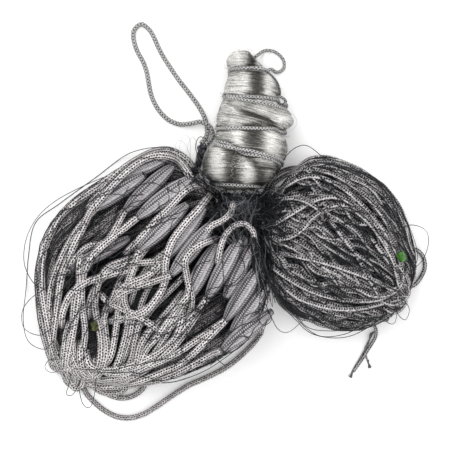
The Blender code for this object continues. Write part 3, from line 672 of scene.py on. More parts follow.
class Heights:
    """The upper surface of all that is laid so far, on a grid of one-millimetre cells."""

    LOW = np.array((-235.0, -225.0))
    SIDE = 450

    def __init__(self):
        self.cells = np.zeros((self.SIDE, self.SIDE))

    def index(self, xy):
        return tuple(np.clip(np.round(xy - self.LOW).astype(int), 0, self.SIDE - 1).T)

    def disc(self, radius):
        reach = np.arange(-math.ceil(radius), math.ceil(radius) + 1)
        dx, dy = (grid.ravel() for grid in np.meshgrid(reach, reach))
        inside = dx * dx + dy * dy <= radius * radius
        return np.stack([dx[inside], dy[inside]], axis=1)

    def under(self, points, radius, flat=1.0):
        """The lowest height of each point's centre for a tube of that radius to lie on the rest."""
        best = np.full(len(points), radius * flat + 0.05)
        for offset in self.disc(radius):
            lift = flat * math.sqrt(max(0.0, radius * radius - offset @ offset))
            best = np.maximum(best, self.cells[self.index(points[:, :2] + offset)] + lift)
        return best

    def add(self, points, radius, flat=1.0):
        dense = resampled(np.column_stack([points, np.broadcast_to(radius, len(points))]), 0.8)
        for offset in self.disc(float(np.max(radius))):
            inside = dense[:, 3] ** 2 - offset @ offset
            kept = inside >= 0
            tops = dense[kept, 2] + flat * np.sqrt(inside[kept])
            np.maximum.at(self.cells, self.index(dense[kept, :2] + offset), tops)

    def ceiling(self, spread, above):
        """A copy of what is laid so far, blurred and raised: the most that turns may pile up to."""
        weights, soft = hump(2 * spread + 1), self.cells
        for axis in (0, 1):
            soft = np.apply_along_axis(lambda line: np.convolve(line, weights, mode="same"), axis, soft)
        return soft + above

    def add_form(self, form, inset):
        """The surface of a wound form, sunk by an inset."""
        points = (form.rings - form.normals * inset).reshape(-1, 3)
        for offset in self.disc(1.5):
            np.maximum.at(self.cells, self.index(points[:, :2] + offset), points[:, 2])

    def lay(self, route, radius, step=2.0, steep=0.9, ease=6.0, sink=0.0, flat=1.0):
        """A route with the height at which a line under slight tension rests on what is there."""
        fine = smooth_route(route, step)
        heights = self.under(fine, radius, flat) - sink
        drop = steep * step
        for i in range(1, len(heights)):
            heights[i] = max(heights[i], heights[i - 1] - drop)
        for i in range(len(heights) - 2, -1, -1):
            heights[i] = max(heights[i], heights[i + 1] - drop)
        width = max(1, round(ease / step))
        padded = np.pad(heights, 2 * width, mode="edge")
        span = 2 * width + 1
        tops = np.array([padded[i:i + span].max() for i in range(len(padded) - span + 1)])
        fine[:, 2] = np.convolve(tops, hump(span + 2)[1:-1], mode="valid")
        return fine


def eased(heights, reach):
    """Heights along a line, smoothed over that many points to each side."""
    return np.convolve(np.pad(heights, reach, mode="edge"), hump(2 * reach + 3)[1:-1], mode="valid")


def wander(share, size, waves):
    """A smooth random drift along a strand, given as shares from 0 to 1."""
    drift = np.zeros_like(share)
    for wave in waves:
        drift += RNG.normal() * np.sin(2 * math.pi * (wave * share + RNG.random()))
    return size * drift / math.sqrt(len(waves))


# Routes that the photograph shows, on its layout

# Outer turns of the float line, each run on round the skein's far end. The first nine are solids too.
FLOAT_TURNS = (
    ((192, 179), (179, 162), (163, 158), (147, 162), (128, 176), (107, 199), (94, 215),
     (85, 233), (77, 250), (68, 271), (63, 295), (58, 325), (54, 350), (54, 363), (58, 370),
     (64, 367), (67, 354), (70, 336), (74, 318)),
    ((118, 176), (100, 189), (78, 204), (64, 216), (55, 232), (48, 250), (43, 272), (42, 298),
     (45, 325), (49, 348), (54, 361), (60, 358), (61, 343)),
    ((50, 236), (47, 256), (46, 280), (50, 312), (55, 341), (60, 362), (64, 376), (69, 385),
     (75, 383), (76, 368), (77, 348)),
    ((87, 252), (85, 267), (84, 286), (80, 312), (75, 338), (70, 360), (68, 376), (72, 388),
     (79, 388), (84, 376), (87, 358)),
    ((137, 257), (127, 260), (113, 266), (104, 278), (99, 295), (99, 312), (104, 338),
     (103, 359), (96, 372), (86, 378), (79, 370), (78, 352)),
    ((212, 192), (201, 208), (186, 225), (174, 242), (168, 262), (168, 276), (164, 288), (156, 300),
     (146, 310), (127, 316), (113, 317)),
    ((182, 294), (184, 306), (183, 318), (179, 330), (169, 345), (151, 360), (130, 372),
     (113, 376), (98, 379), (87, 372), (84, 357), (84, 338)),
    ((158, 318), (144, 340), (139, 359), (133, 372), (122, 381), (108, 382), (98, 374), (95, 358)),
    ((141, 266), (123, 270), (106, 275), (90, 281), (76, 292), (68, 308), (64, 326)),
    ((220, 214), (221, 199), (212, 191), (198, 187), (186, 193), (172, 208), (158, 222),
     (141, 241), (128, 253)),
    ((138, 306), (136, 318), (133, 334), (125, 356), (112, 374)),
    ((149, 310), (142, 322), (138, 338), (133, 358), (120, 374), (104, 378)),
    ((140, 250), (132, 272), (128, 292), (131, 312), (128, 334), (122, 356), (114, 372)),
    ((164, 268), (152, 276), (140, 283), (124, 292), (110, 306), (105, 324), (107, 342), (108, 360), (96, 376)),
    ((166, 281), (150, 285), (134, 287), (120, 294), (108, 308), (104, 326)),
    ((100, 288), (111, 299), (124, 306), (138, 312), (152, 320), (166, 331)),
    ((163, 298), (150, 305), (137, 312), (122, 318), (106, 320)),
    ((168, 258), (150, 261), (130, 263), (112, 272), (99, 286), (92, 304), (91, 322)),
    ((216, 238), (203, 243), (193, 250), (187, 260), (189, 276), (193, 295), (190, 314),
     (184, 330), (172, 346), (152, 363), (131, 375), (113, 382), (97, 383), (85, 378), (77, 364),
     (74, 346), (75, 328)),
    ((124, 277), (117, 295), (107, 312), (108, 330), (110, 347), (106, 364), (97, 374), (90, 364),
     (90, 346)),
    ((182, 303), (168, 326), (158, 347), (146, 358), (128, 368), (112, 370), (98, 362)),
    ((218, 300), (199, 319), (176, 342), (152, 358), (132, 366), (114, 366)),
    ((127, 214), (122, 229), (112, 240), (93, 246), (82, 256), (74, 270)),
    ((140, 220), (124, 233), (110, 243), (96, 258), (88, 275), (86, 300), (88, 330), (84, 362),
     (88, 374), (96, 370), (97, 350)),
    ((107, 203), (92, 218), (77, 237), (65, 260), (56, 286), (53, 314), (57, 340), (62, 358)),
    ((98, 257), (89, 271), (81, 290), (77, 315), (76, 344), (80, 368), (87, 380), (94, 374), (93, 352)),
    ((173, 252), (165, 264), (151, 273), (131, 282), (118, 294), (112, 310)),
    ((195, 287), (184, 299), (173, 314), (161, 331), (149, 345), (139, 364), (125, 372), (112, 366)),
    ((203, 303), (190, 320), (173, 338), (153, 353), (129, 363), (108, 367), (93, 362), (88, 346)),
    ((217, 318), (203, 330), (184, 345), (160, 358), (136, 368), (116, 379), (99, 381), (85, 371),
     (77, 354), (76, 336)),
    ((226, 330), (208, 343), (187, 356), (162, 369), (137, 379), (116, 386), (99, 388), (84, 381),
     (72, 365), (68, 346)),
    ((221, 346), (204, 357), (180, 369), (152, 380), (126, 387), (104, 388), (87, 386), (73, 377),
     (63, 361), (60, 343)),
    ((196, 174), (189, 162), (176, 152), (163, 149), (148, 154), (127, 171), (108, 190), (92, 208)),
    ((154, 250), (146, 262), (135, 274), (127, 290), (121, 308), (118, 330), (114, 352), (104, 366)),
)
FLOAT_TURN_SOLIDS = 9

# Outer turns of the lead line. The first four are solids too.
LEAD_TURNS = (
    ((266, 214), (269, 194), (278, 180), (300, 171), (330, 176), (358, 195), (378, 218),
     (390, 242), (396, 264), (398, 282), (393, 294), (385, 292)),
    ((272, 240), (288, 237), (299, 230), (309, 220), (323, 211), (338, 208), (354, 214),
     (370, 230), (384, 252), (392, 276), (396, 290), (403, 294), (407, 284)),
    ((274, 252), (296, 256), (322, 262), (346, 270), (372, 280), (392, 290), (402, 290)),
    ((280, 284), (300, 298), (330, 306), (358, 306), (384, 300), (398, 298), (402, 306)),
    ((262, 206), (266, 190), (276, 175), (290, 168), (303, 170), (310, 178), (322, 192)),
    ((298, 232), (307, 220), (320, 211), (332, 206), (345, 207), (356, 213), (368, 224)),
    ((352, 286), (366, 293), (382, 293), (393, 287), (398, 277), (395, 268), (388, 262)),
    ((268, 228), (290, 214), (316, 200), (338, 200), (362, 216), (380, 240), (392, 266)),
    ((270, 200), (286, 186), (306, 178), (330, 184), (356, 204), (380, 232), (397, 262)),
    ((266, 262), (284, 276), (310, 290), (340, 298), (370, 298), (392, 290)),
    ((372, 296), (386, 302), (398, 300), (405, 292), (400, 284), (388, 288), (376, 294)),
    ((378, 304), (390, 311), (400, 309), (404, 301), (396, 296), (384, 298)),
    ((268, 206), (280, 200), (296, 200), (312, 208), (322, 220)),
)

# Loose cords, with the height of each point, as the solids have them.
HANGING_LOOP = (
    (200.7, 142.5, 5.1), (206.4, 133.8, 2.8), (206.2, 122.8, 2.4), (202.6, 112.3, 2.4),
    (196.9, 102.6, 2.4), (190.4, 93.5, 2.4), (183.5, 84.7, 2.4), (176.7, 75.8, 2.4),
    (170.4, 66.6, 2.4), (164.3, 57.2, 2.4), (158.7, 47.5, 2.4), (154.1, 37.3, 2.4),
    (148.8, 27.5, 2.4), (140.1, 21.0, 2.4), (132.3, 27.8, 2.4), (132.6, 38.9, 2.4),
    (136.3, 49.4, 2.4), (141.7, 59.2, 2.4), (145.4, 69.7, 2.4), (147.4, 80.7, 2.4),
    (149.6, 91.7, 2.4), (153.8, 102.0, 2.4), (160.1, 111.3, 2.4), (168.4, 118.6, 2.4),
    (178.8, 122.6, 2.4), (189.6, 122.3, 4.9), (200.5, 120.8, 7.0), (209.8, 125.8, 6.1),
    (212.1, 135.6, 3.7), (205.7, 144.0, 5.1),
)
TRAILING_LOOP = (
    (86.0, 372.5, 11.2), (81.1, 383.6, 6.5), (83.8, 395.2, 3.0), (92.9, 405.5, 2.9),
    (103.6, 414.0, 2.9), (115.9, 419.7, 2.9), (129.5, 420.7, 2.9), (142.6, 416.9, 2.9),
    (154.4, 410.0, 2.9), (165.7, 402.3, 2.9), (177.0, 394.7, 2.9), (188.8, 387.6, 2.9),
    (201.3, 382.1, 2.9), (213.7, 376.4, 2.9), (225.7, 369.9, 2.9), (236.7, 361.8, 2.9),
    (246.9, 352.6, 2.9), (256.1, 342.5, 2.9), (261.7, 332.6, 6.6), (254.0, 328.9, 14.4),
)
LOW_LOOP = (
    (99.6, 377.6, 14.1), (97.7, 385.9, 8.0), (104.8, 395.6, 2.9), (118.1, 400.5, 2.9),
    (132.2, 398.1, 2.9), (142.9, 389.1, 4.9), (142.5, 381.0, 13.6),
)
CROWN_LOOP = (
    (255.2, 55.6, 9.3), (259.3, 51.8, 5.7), (265.1, 48.0, 2.0), (273.0, 48.0, 1.8),
    (279.9, 51.9, 1.8), (284.7, 58.2, 1.8), (284.5, 66.0, 1.8), (278.1, 70.0, 2.0),
    (271.7, 67.2, 5.5), (266.9, 70.2, 8.5),
)
SIDE_LOOP = (
    (413.4, 249.8, 11.7), (419.4, 250.4, 6.6), (426.3, 257.5, 2.7), (427.9, 267.9, 2.3),
    (423.9, 277.9, 2.6), (417.1, 285.6, 5.7), (411.0, 287.1, 9.4),
)
TAIL_END = (
    (374.8, 324.8, 7.7), (377.9, 330.7, 5.1), (378.0, 338.1, 2.1), (374.0, 345.7, 1.8),
    (369.4, 352.9, 1.8), (364.9, 360.1, 1.8), (360.1, 367.1, 1.8), (355.0, 374.0, 1.8),
)
WHIPPING = ((191.3, 172.0, 9.8), (196.8, 166.3, 10.2), (200.0, 154.0, 5.1), (203.0, 144.0, 5.1))

# Turns that run down through the skein's hollow, below the others, given a low tone as painted shade
HOLLOW_TURNS = (
    ((190, 268), (180, 280), (168, 292), (156, 304), (146, 318), (138, 332)),
    ((184, 290), (174, 303), (163, 316), (153, 330), (143, 346)),
    ((176, 246), (164, 254), (152, 264), (143, 277), (136, 292), (132, 306)),
    ((170, 262), (160, 272), (152, 284), (146, 297), (143, 309), (146, 322)),
    ((152, 244), (142, 257), (131, 268), (119, 281)),
)

# Small loops of float line at the skein's lower edge
LOW_LOOPS = (
    ((90, 372, 9), (91, 386, 4.6), (99, 394, 3.6), (111, 396, 3.6), (121, 393, 4), (127, 384, 7), (124, 374, 12)),
    ((56, 340, 26), (51, 355, 13), (49, 365, 5.4), (52, 370, 4.2), (57, 367, 5.4), (61, 352, 18)),
    ((67, 350, 26), (65, 368, 13), (63, 380, 5.4), (67, 386, 4.2), (72, 382, 5.4), (75, 366, 16)),
)

# Float line that arches over the gathered neck
NECK_ARCHES = (
    ((218, 262), (221, 246), (226, 234), (234, 226), (243, 224), (251, 230), (254, 240)),
    ((206, 234), (212, 226), (222, 221), (230, 214), (233, 204)),
)

# Stray black threads beyond the skeins, on the floor and over the edges
STRAY_THREADS = (
    ((180, 152), (163, 147), (127, 153), (93, 177), (57, 203), (32, 223), (25, 257), (23, 293),
     (23, 320), (30, 340), (47, 347), (58, 338)),
    ((110, 178), (84, 188), (57, 201), (37, 217), (27, 238), (27, 262), (37, 280), (50, 288)),
    ((52, 286), (35, 297), (25, 311), (27, 327), (43, 333), (56, 326)),
    ((66, 356), (52, 358), (47, 366), (54, 371), (66, 366)),
    ((72, 372), (70, 383), (67, 393), (73, 394), (80, 384), (84, 374)),
    ((80, 380), (79, 390), (83, 404), (91, 406), (97, 388), (98, 376)),
    ((276, 176), (287, 155), (303, 146), (318, 156), (330, 172)),
    ((340, 176), (360, 173), (387, 193), (403, 217), (413, 240), (415, 258), (406, 276)),
    ((392, 232), (407, 225), (423, 230), (427, 243), (421, 259), (408, 270)),
    ((262, 296), (268, 310), (277, 327), (288, 330), (300, 320), (312, 308)),
    ((272, 290), (280, 304), (293, 317), (310, 333), (330, 338), (350, 335), (370, 323), (384, 312)),
    ((284, 300), (300, 322), (320, 336), (344, 333), (362, 322), (380, 318)),
    ((288, 304), (306, 326), (328, 330), (352, 326), (372, 316)),
    ((390, 300), (394, 312), (402, 318), (406, 308), (400, 298)),
    ((378, 306), (384, 320), (392, 322), (395, 312)),
    ((205, 168), (196, 150), (200, 138), (209, 144), (208, 158)),
    ((214, 352), (226, 362), (238, 356), (252, 342), (262, 328), (266, 316)),
    ((150, 386), (176, 384), (205, 372), (232, 352), (250, 338)),
    ((258, 300), (266, 308), (270, 317), (262, 322), (256, 314)),
)

# Clear single-filament loops beside the whipping, and hairs that stand off the crown
CLEAR_LOOPS = (
    ((182, 168), (180, 150), (184, 136), (190, 140), (190, 156), (192, 168)),
    ((188, 168), (188, 148), (193, 138), (197, 146), (195, 164)),
    ((194, 168), (186, 146), (178, 142), (177, 154), (184, 168)),
    ((232, 60), (226, 50), (229, 42), (240, 40), (248, 50)),
    ((250, 56), (256, 40), (268, 36), (276, 44), (268, 54)),
    ((246, 58), (252, 44), (262, 30), (268, 40), (262, 56)),
    ((282, 112), (292, 116), (296, 124), (291, 131), (284, 128)),
)

# Threads of dark netting at the neck: how many, from and to which patches of the layout (low x, high x,
# low y, high y), their radius, how far they bow, and the share of pale ones.
NECK_FANS = (
    (90, (218, 262, 188, 198), (216, 264, 206, 226), 0.40, 6.0, 0.2),
    (90, (216, 262, 194, 214), (222, 262, 222, 250), 0.38, 7.0, 0.2),
    (50, (216, 256, 192, 234), (220, 262, 200, 244), 0.34, 10.0, 0.4),
    (80, (244, 262, 200, 236), (254, 276, 256, 306), 0.38, 5.0, 0.12),
    (90, (248, 268, 188, 232), (268, 292, 182, 256), 0.36, 5.0, 0.12),
    (36, (222, 240, 196, 220), (204, 222, 214, 240), 0.34, 6.0, 0.12),
    (30, (208, 222, 184, 200), (186, 204, 164, 184), 0.34, 4.0, 0.12),
)
TOP_FAN = (26, (214, 262, 194, 240), (214, 262, 200, 250), 0.36, 12.0, 0.7)


# Camera, light and floor

PHOTO_SIDE = 0.450
FOCUS_HEIGHT = 0.022
WHITE = (1.0, 1.0, 1.0, 1.0)


def make_stage():
    camera = bpy.data.cameras.new("camera")
    camera.lens = 100.0
    camera.sensor_width = 36.0
    view = bpy.data.objects.new("camera", camera)
    distance = PHOTO_SIDE * camera.lens / camera.sensor_width
    x, y = plan(PHOTO_SIDE / MM / 2, PHOTO_SIDE / MM / 2)
    view.location = (x * MM, y * MM, distance + FOCUS_HEIGHT)
    bpy.context.scene.collection.objects.link(view)
    bpy.context.scene.camera = view

    floor_mesh = bpy.data.meshes.new("floor")
    bm = bmesh.new()
    bmesh.ops.create_grid(bm, x_segments=1, y_segments=1, size=6.0)
    bm.to_mesh(floor_mesh)
    bm.free()
    floor = bpy.data.objects.new("floor", floor_mesh)
    bpy.context.scene.collection.objects.link(floor)
    pale = Finish("pale_floor", roughness=0.9)
    pale.shader.inputs["Base Color"].default_value = (0.93, 0.93, 0.93, 1.0)
    pale.shader.inputs["Emission Color"].default_value = WHITE
    pale.shader.inputs["Emission Strength"].default_value = 0.12
    floor_mesh.materials.append(pale.material)

    add_lamp("key", (-0.7, 0.8, 1.7), 1.8, 24.0)
    add_lamp("fill", (1.0, -0.6, 1.6), 2.0, 12.0)
    world = bpy.data.worlds.new("studio")
    world.use_nodes = True
    sky = world.node_tree.nodes["Background"].inputs
    sky["Color"].default_value = WHITE
    sky["Strength"].default_value = 0.75
    bpy.context.scene.world = world
    bpy.context.scene.view_settings.view_transform = "Standard"


def add_lamp(name, place, size, power):
    lamp = bpy.data.lights.new(name, "AREA")
    lamp.size = size
    lamp.energy = power
    obj = bpy.data.objects.new(name, lamp)
    obj.location = place
    obj.rotation_mode = "QUATERNION"
    obj.rotation_quaternion = (-Vector(place)).to_track_quat("-Z", "Y")
    bpy.context.scene.collection.objects.link(obj)


# Loose cords

def lay_cord(name, route, radius, finish, slot, twist):
    """A loose cord on its own, shown in place of its solid."""
    points = smooth_route(laid(route), 1.2)
    raise_to(points, 1.05 * radius)
    strands = Strands(14)
    strands.add(points, radius, tone=0.7, relief=twist)
    obj = strands.mesh(name, finish, slot)
    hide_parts(name)


def yarn_relief(repeats, pitch, depth):
    """A braid's raised yarns, for tubes fine enough to carry them."""
    def relief(angle, along):
        turn, run = repeats * angle, 2 * math.pi * along / pitch
        return 1 + depth * (np.maximum(np.sin(turn + run), np.sin(turn - run)) - 0.5)
    return relief


# Skeins: radius and flatness of their lines, and of the arches over the neck
FLOAT_LINE, FLOAT_FLAT = 3.0, 0.86
LEAD_LINE, LEAD_FLAT = 2.25, 0.84
ARCH = 3.2


def make_core(node, depth, finish):
    """The dark mass inside a skein: its solid drawn in by a depth."""
    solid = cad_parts[node]
    bm = bmesh.new()
    bm.from_mesh(solid.data)
    bmesh.ops.remove_doubles(bm, verts=bm.verts, dist=1e-6)
    bmesh.ops.smooth_vert(bm, verts=bm.verts, factor=0.5, use_axis_x=True, use_axis_y=True, use_axis_z=True)
    bm.normal_update()
    for vert in bm.verts:
        vert.co -= vert.normal * (depth * MM)
        vert.co.z = max(vert.co.z, 0.3 * MM)
    mesh = bpy.data.meshes.new(node + "_core")
    bm.to_mesh(mesh)
    bm.free()
    mesh.shade_smooth()
    made = piece(node + "_core", mesh, finish)
    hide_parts(node)


def spindle_of(node):
    """The two tips of a float, lead or marker solid, the far one from the neck last, in millimetres."""
    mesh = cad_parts[node].data
    points = np.empty(len(mesh.vertices) * 3)
    mesh.vertices.foreach_get("co", points)
    points = np.unique(np.round(points.reshape(-1, 3) / MM, 3), axis=0)
    middle = points.mean(axis=0)
    axis = np.linalg.svd(points - middle, full_matrices=False)[2][0]
    reach = (points - middle) @ axis
    tips = [middle + axis * reach.min(), middle + axis * reach.max()]
    return sorted(tips, key=lambda tip: np.hypot(tip[0], tip[1]))


def numbered(stem):
    return sorted(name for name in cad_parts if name.startswith(stem) and name[len(stem):].isdigit())


def turn_radius(share, tip, full):
    return tip + (full - tip) * (1 - np.abs(2 * share - 1) ** 2.4)


# About how long a turn is, how far turns dip in at the neck or at their ends, and how near a float's tip a
# listed turn has to start to run on from it.
TURN_LENGTH = 230
ROOT_DIP, STRETCH_DIP, OVER_DIP = 6.0, 7.0, 13.0
TIP_REACH = 14


class Skein:
    """Line wound over a form: its base turns, a second layer, and those laid over the top along given routes."""

    STEP = 3.0

    def __init__(self, form, heights, radius, flat, sides, shade, sink=None, dim=None):
        self.form, self.heights = form, heights
        self.radius, self.flat, self.shade, self.sink, self.dim = radius, flat, shade, sink, dim
        self.base, self.second, self.over = Strands(sides - 2), Strands(sides), Strands(sides + 2)

    def settle(self, strands, points, outward, offset, tone):
        """Add a turn at its distance from the form, lower under floats; its tone gets painted light where the form
        faces sideways or down, painted shade in the hollow and painted shade on its flanks.
        """
        points = points + outward * np.asarray(offset)[:, None]
        # Painted light: the tone is raised where the form faces sideways or down.
        tone = tone + 0.55 * np.clip(0.75 - outward[:, 2], 0, 0.75)
        if self.sink is not None:
            points[:, 2] -= self.sink(points)
        # Painted shade in the skein's hollow.
        if self.dim is not None:
            tone = tone - self.dim(points)
        raise_to(points, self.radius + 0.1)
        strands.add(points, self.radius, ups=outward, flat=self.flat, tone=tone, shade=self.shade)
        self.heights.add(points, self.radius, self.flat)

    def wind_base(self, count, depth, drift, overshoot, tones):
        """Whole turns: over the top to the far end, round it and back along the underside."""
        way = self.form.far_way
        for k in range(count):
            top = 0.5 * (k + RNG.uniform(0.15, 0.85)) / count
            steps = round(TURN_LENGTH / self.STEP)
            reach = RNG.uniform(0.86, 0.99)
            out, back = np.linspace(0.0, reach, steps), np.linspace(reach, 0.02, steps)
            first, up_first = self.form.at(out, top + wander(out, drift, (1, 2, 4, 6)) * (1 - out))
            last, up_last = self.form.at(back, 1 - top + wander(back, drift, (1, 2, 4, 6)) * (1 - back))
            stretch = RNG.uniform(*overshoot) * out ** 12
            first = first + way * stretch[:, None]
            last = last + way * stretch[::-1, None]
            bulge = 0.55 * np.linalg.norm(first[-1] - last[0])
            t = np.linspace(0, 1, 9)[1:-1, None]
            a, b, c, d = first[-1], first[-1] + way * bulge, last[0] + way * bulge, last[0]
            bend = a * (1 - t) ** 3 + 3 * b * t * (1 - t) ** 2 + 3 * c * t * t * (1 - t) + d * t ** 3
            up_bend = unit(up_first[-1] * (1 - t) ** 2 + 2.8 * way * t * (1 - t) + up_last[0] * t ** 2)
            points = np.vstack([first, bend, last])
            outward = np.vstack([up_first, up_bend, up_last])
            share = np.linspace(0, 1, len(points))
            offset = RNG.uniform(*depth) + wander(share, 0.5, (1, 2, 3, 4))
            offset = offset - ROOT_DIP * near_end(share, 0.06)
            self.settle(self.base, points, outward, offset, RNG.uniform(*tones))

    def wind_second(self, count, sides_low, sides_high, far, depth, drift, tones):
        """Turns that go out on one side of the top, bend round and come back on the other."""
        for _ in range(count):
            first, last, reach = RNG.uniform(*sides_low), RNG.uniform(*sides_high), RNG.uniform(*far)
            share = np.linspace(0, 1, round(2 * TURN_LENGTH * reach / self.STEP))
            station = reach * (1 - np.abs(2 * share - 1) ** 3.2)
            ease = np.clip((share - 0.36) / 0.28, 0, 1)
            turn = first + (last - first) * ease * ease * (3 - 2 * ease) + wander(share, drift, (1, 2, 3))
            points, outward = self.form.at(station, turn)
            offset = RNG.uniform(*depth) + wander(share, 0.5, (1, 2, 3, 5))
            offset = offset - ROOT_DIP * near_end(np.minimum(share, 1 - share), 0.04)
            self.settle(self.second, points, outward, offset, RNG.uniform(*tones))

    def wind_straight(self, count, low, lengths, sides, depth, drift, tones, weave=0.0):
        """Stretches of line that run along the form, side by side, and dip in at both ends."""
        for k in range(count):
            start = RNG.uniform(*low)
            end = min(0.98, start + RNG.uniform(*lengths))
            length = 260 * (end - start)
            share = np.linspace(0, 1, max(8, round(length / self.STEP)))
            wriggle = wander(share, weave, (length / 75, length / 50, length / 34))
            side = sides[0] + (sides[1] - sides[0]) * (k + RNG.uniform(0.1, 0.9)) / count
            turn = side + wander(share, drift, (1, 2)) + wriggle
            points, outward = self.form.at(start + (end - start) * share, turn)
            offset = RNG.uniform(*depth) + wander(share, 0.5, (1, 2, 3))
            offset = offset + wander(share, 60 * weave, (length / 50, length / 33))
            offset = offset - STRETCH_DIP * near_end(np.minimum(share, 1 - share) * length, 24.0)
            self.settle(self.second, points, outward, offset, RNG.uniform(*tones))

    def lay_over(self, routes, sink, ceiling, tips=(), wide=1.0, tone_of_all=None):
        """Turns along given routes, no higher than a ceiling. One that starts by a tip runs on from it."""
        radius = self.radius * wide
        for route in routes:
            line = laid(route)
            near = [tip for tip in tips if np.hypot(*(line[0, :2] - tip[:2])) < TIP_REACH]
            if near:
                line[0] = (*near[0][:2], 0.0)
                line = np.delete(line, 1, axis=0) if len(line) > 5 else line
            points = self.heights.lay(line, radius, step=2.0, sink=sink, flat=self.flat, steep=0.7, ease=9.0)
            most = ceiling[self.heights.index(points[:, :2])]
            points[:, 2] = eased(np.minimum(points[:, 2], most), 6)
            along = travelled(points)
            ends = along[-1] - along if near else np.minimum(along, along[-1] - along)
            points[:, 2] -= OVER_DIP * near_end(ends, 18.0)
            if near:
                ease = near_end(along, 16.0)
                points[:, 2] = points[:, 2] * (1 - ease) + near[0][2] * ease
            raise_to(points, radius * self.flat + 0.1)
            ups = np.tile(UP, (len(points), 1))
            tone = RNG.uniform(0.82, 1.1) if tone_of_all is None else tone_of_all
            # Painted shade: the turns are dimmer in the skein's hollow.
            if self.dim is not None:
                tone = tone - 0.15 * self.dim(points)
            self.over.add(points, radius, ups=ups, flat=self.flat, tone=tone, shade=self.shade)
            self.heights.add(points, radius, self.flat)

    def meshes(self, line, finish):
        """The three layers as pieces; the turns laid over stand for the solids of the outer turns."""
        self.base.mesh(line + "_base_turns", finish, line)
        self.second.mesh(line + "_second_turns", finish, line)
        made = self.over.mesh(line + "_over_turns", finish, line)
        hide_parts(*(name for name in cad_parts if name.startswith(line + "_turn")))


def near_floats(axes, reach, drop):
    """How far turns of line sink where floats lie over them."""
    def sink(points):
        away = np.full(len(points), 1e9)
        for start, end in axes:
            line = (end - start)[:2]
            share = np.clip(((points[:, :2] - start[:2]) @ line) / (line @ line), 0, 1)
            spot = start[:2] + share[:, None] * line
            away = np.minimum(away, np.linalg.norm(points[:, :2] - spot, axis=1))
        above = np.clip((points[:, 2] - 18) / 12, 0, 1)
        return above * drop * np.clip(1.7 - away / reach, 0, 1)
    return sink


def spindle_ups(head, foot, count):
    across = unit(np.cross(foot - head, UP))
    return np.tile(unit(np.cross(across, foot - head)), (count, 1))


def add_ties(ties, head, foot, radius, thickness, turns=3):
    """A few turns of twine round both ends of a float or a lead."""
    for tip, inner in ((head, foot), (foot, head)):
        way = unit(inner - tip)
        side = unit(np.cross(way, UP))
        up = np.cross(side, way)
        angle = np.linspace(0, 2 * math.pi * turns, 12 * turns + 1)[:, None]
        points = (tip + way * (0.4 + 1.7 * thickness * angle / (2 * math.pi))
                  + radius * (np.cos(angle) * side + np.sin(angle) * up))
        ties.add(points, thickness, tone=0.2)


def dress_floats(heights, finish, ties):
    """Floats in their stretched sleeve, with a tie of twine at each tip."""
    sleeves = Strands(42)
    names = numbered("float_")
    for name in names:
        head, foot = spindle_of(name)
        share = np.linspace(0, 1, 56)
        points = between(head, foot, share)
        points[:, 2] += wander(share, 0.25, (1, 2))
        slack = name == names[-1]
        radius = turn_radius(share, 2.7, 6.6 if slack else 8.1)
        tone = RNG.uniform(0.78, 1.1) - 0.5 * np.abs(2 * share - 1) ** 3 - 0.4 * slack
        sleeves.add(points, radius, ups=spindle_ups(head, foot, len(share)), tone=tone, shade=0.75,
                    relief=lambda angle, along: 1 + 0.04 * np.abs(np.sin(3 * angle)))
        heights.add(points, radius)
        add_ties(ties, head, foot, 2.9, 0.5)
    made = sleeves.mesh("float_sleeves", finish, "float_sleeve")
    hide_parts(*names)


def dress_leads(heights, finish, ties, twist):
    """Leads inside their braid, as thick stretches of lead line tied at both ends."""
    braid = Strands(14)
    names = numbered("lead_")
    for name in names:
        head, foot = spindle_of(name)
        share = np.linspace(-0.35, 1.35, 46)
        points = between(head, foot, share)
        points[:, 2] -= 9.0 * np.clip(np.abs(share - 0.5) - 0.5, 0, 1) / 0.35
        radius = np.where((share > 0) & (share < 1), turn_radius(np.clip(share, 0, 1), 1.9, 3.2), 1.8)
        braid.add(points, radius, ups=spindle_ups(head, foot, len(share)), tone=RNG.uniform(0.6, 0.9),
                  relief=twist, shade=0.4)
        heights.add(points, radius)
        add_ties(ties, head, foot, 2.3, 0.4)
    made = braid.mesh("sleeved_leads", finish, "lead_line")
    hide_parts(*names)


def dress_marker(node, finish, width):
    """A marker: a strip of sheet plastic folded round the line, with its ends pressed together."""
    head, foot = spindle_of(node)
    fold = Strands(4)
    share = np.linspace(0.12, 0.88, 14)
    points = between(head, foot, share)
    fold.add(points, width + wander(share, 0.2, (1, 2, 3)), ups=spindle_ups(head, foot, 14), flat=0.85)
    across = unit(np.cross(foot - head, UP))
    for k, side in enumerate((1, -1)):
        start = head + (foot - head) * (0.4 + 0.2 * k) + across * side * width * 0.5
        out = np.array([start + across * side * reach - UP * 0.5 * reach for reach in (0, 0.9, 1.8, 2.6)])
        fold.add(out, (2.0, 2.6, 2.9, 2.6), ups=np.tile(UP, (4, 1)), flat=0.2)
    made = fold.mesh(node, finish, node)
    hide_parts(node)


def strew_threads(strands, heights, form, count, low, lengths, sides, radius, wild, sink=0.1):
    """Loose dark twine over a skein, resting on whatever it crosses."""
    for _ in range(count):
        start = RNG.uniform(*low)
        reach = RNG.uniform(*lengths)
        share = np.linspace(0, 1, 26)
        station = start + reach * share + wander(share, 0.02 * wild, (1, 2))
        turn = RNG.uniform(*sides) + RNG.normal() * 0.05 * wild * share + wander(share, 0.014 * wild, (1, 2, 3))
        points, _ = form.at(station, turn)
        route = heights.lay(points[::3], radius, step=3.0, steep=0.7, ease=5.0, sink=sink)
        raise_to(route, 1.25 * radius)
        strands.add(route, radius * RNG.uniform(0.75, 1.2), tone=RNG.random())


def lay_strays(strands, heights, routes, radius):
    """Threads along given routes, which slope down gently beside what they lie on."""
    for route in routes:
        points = heights.lay(laid(route), radius, step=1.8, steep=0.6, ease=4.0)
        raise_to(points, eased(points[:, 2], 12))
        strands.add(points, radius, tone=RNG.random())


# Neck

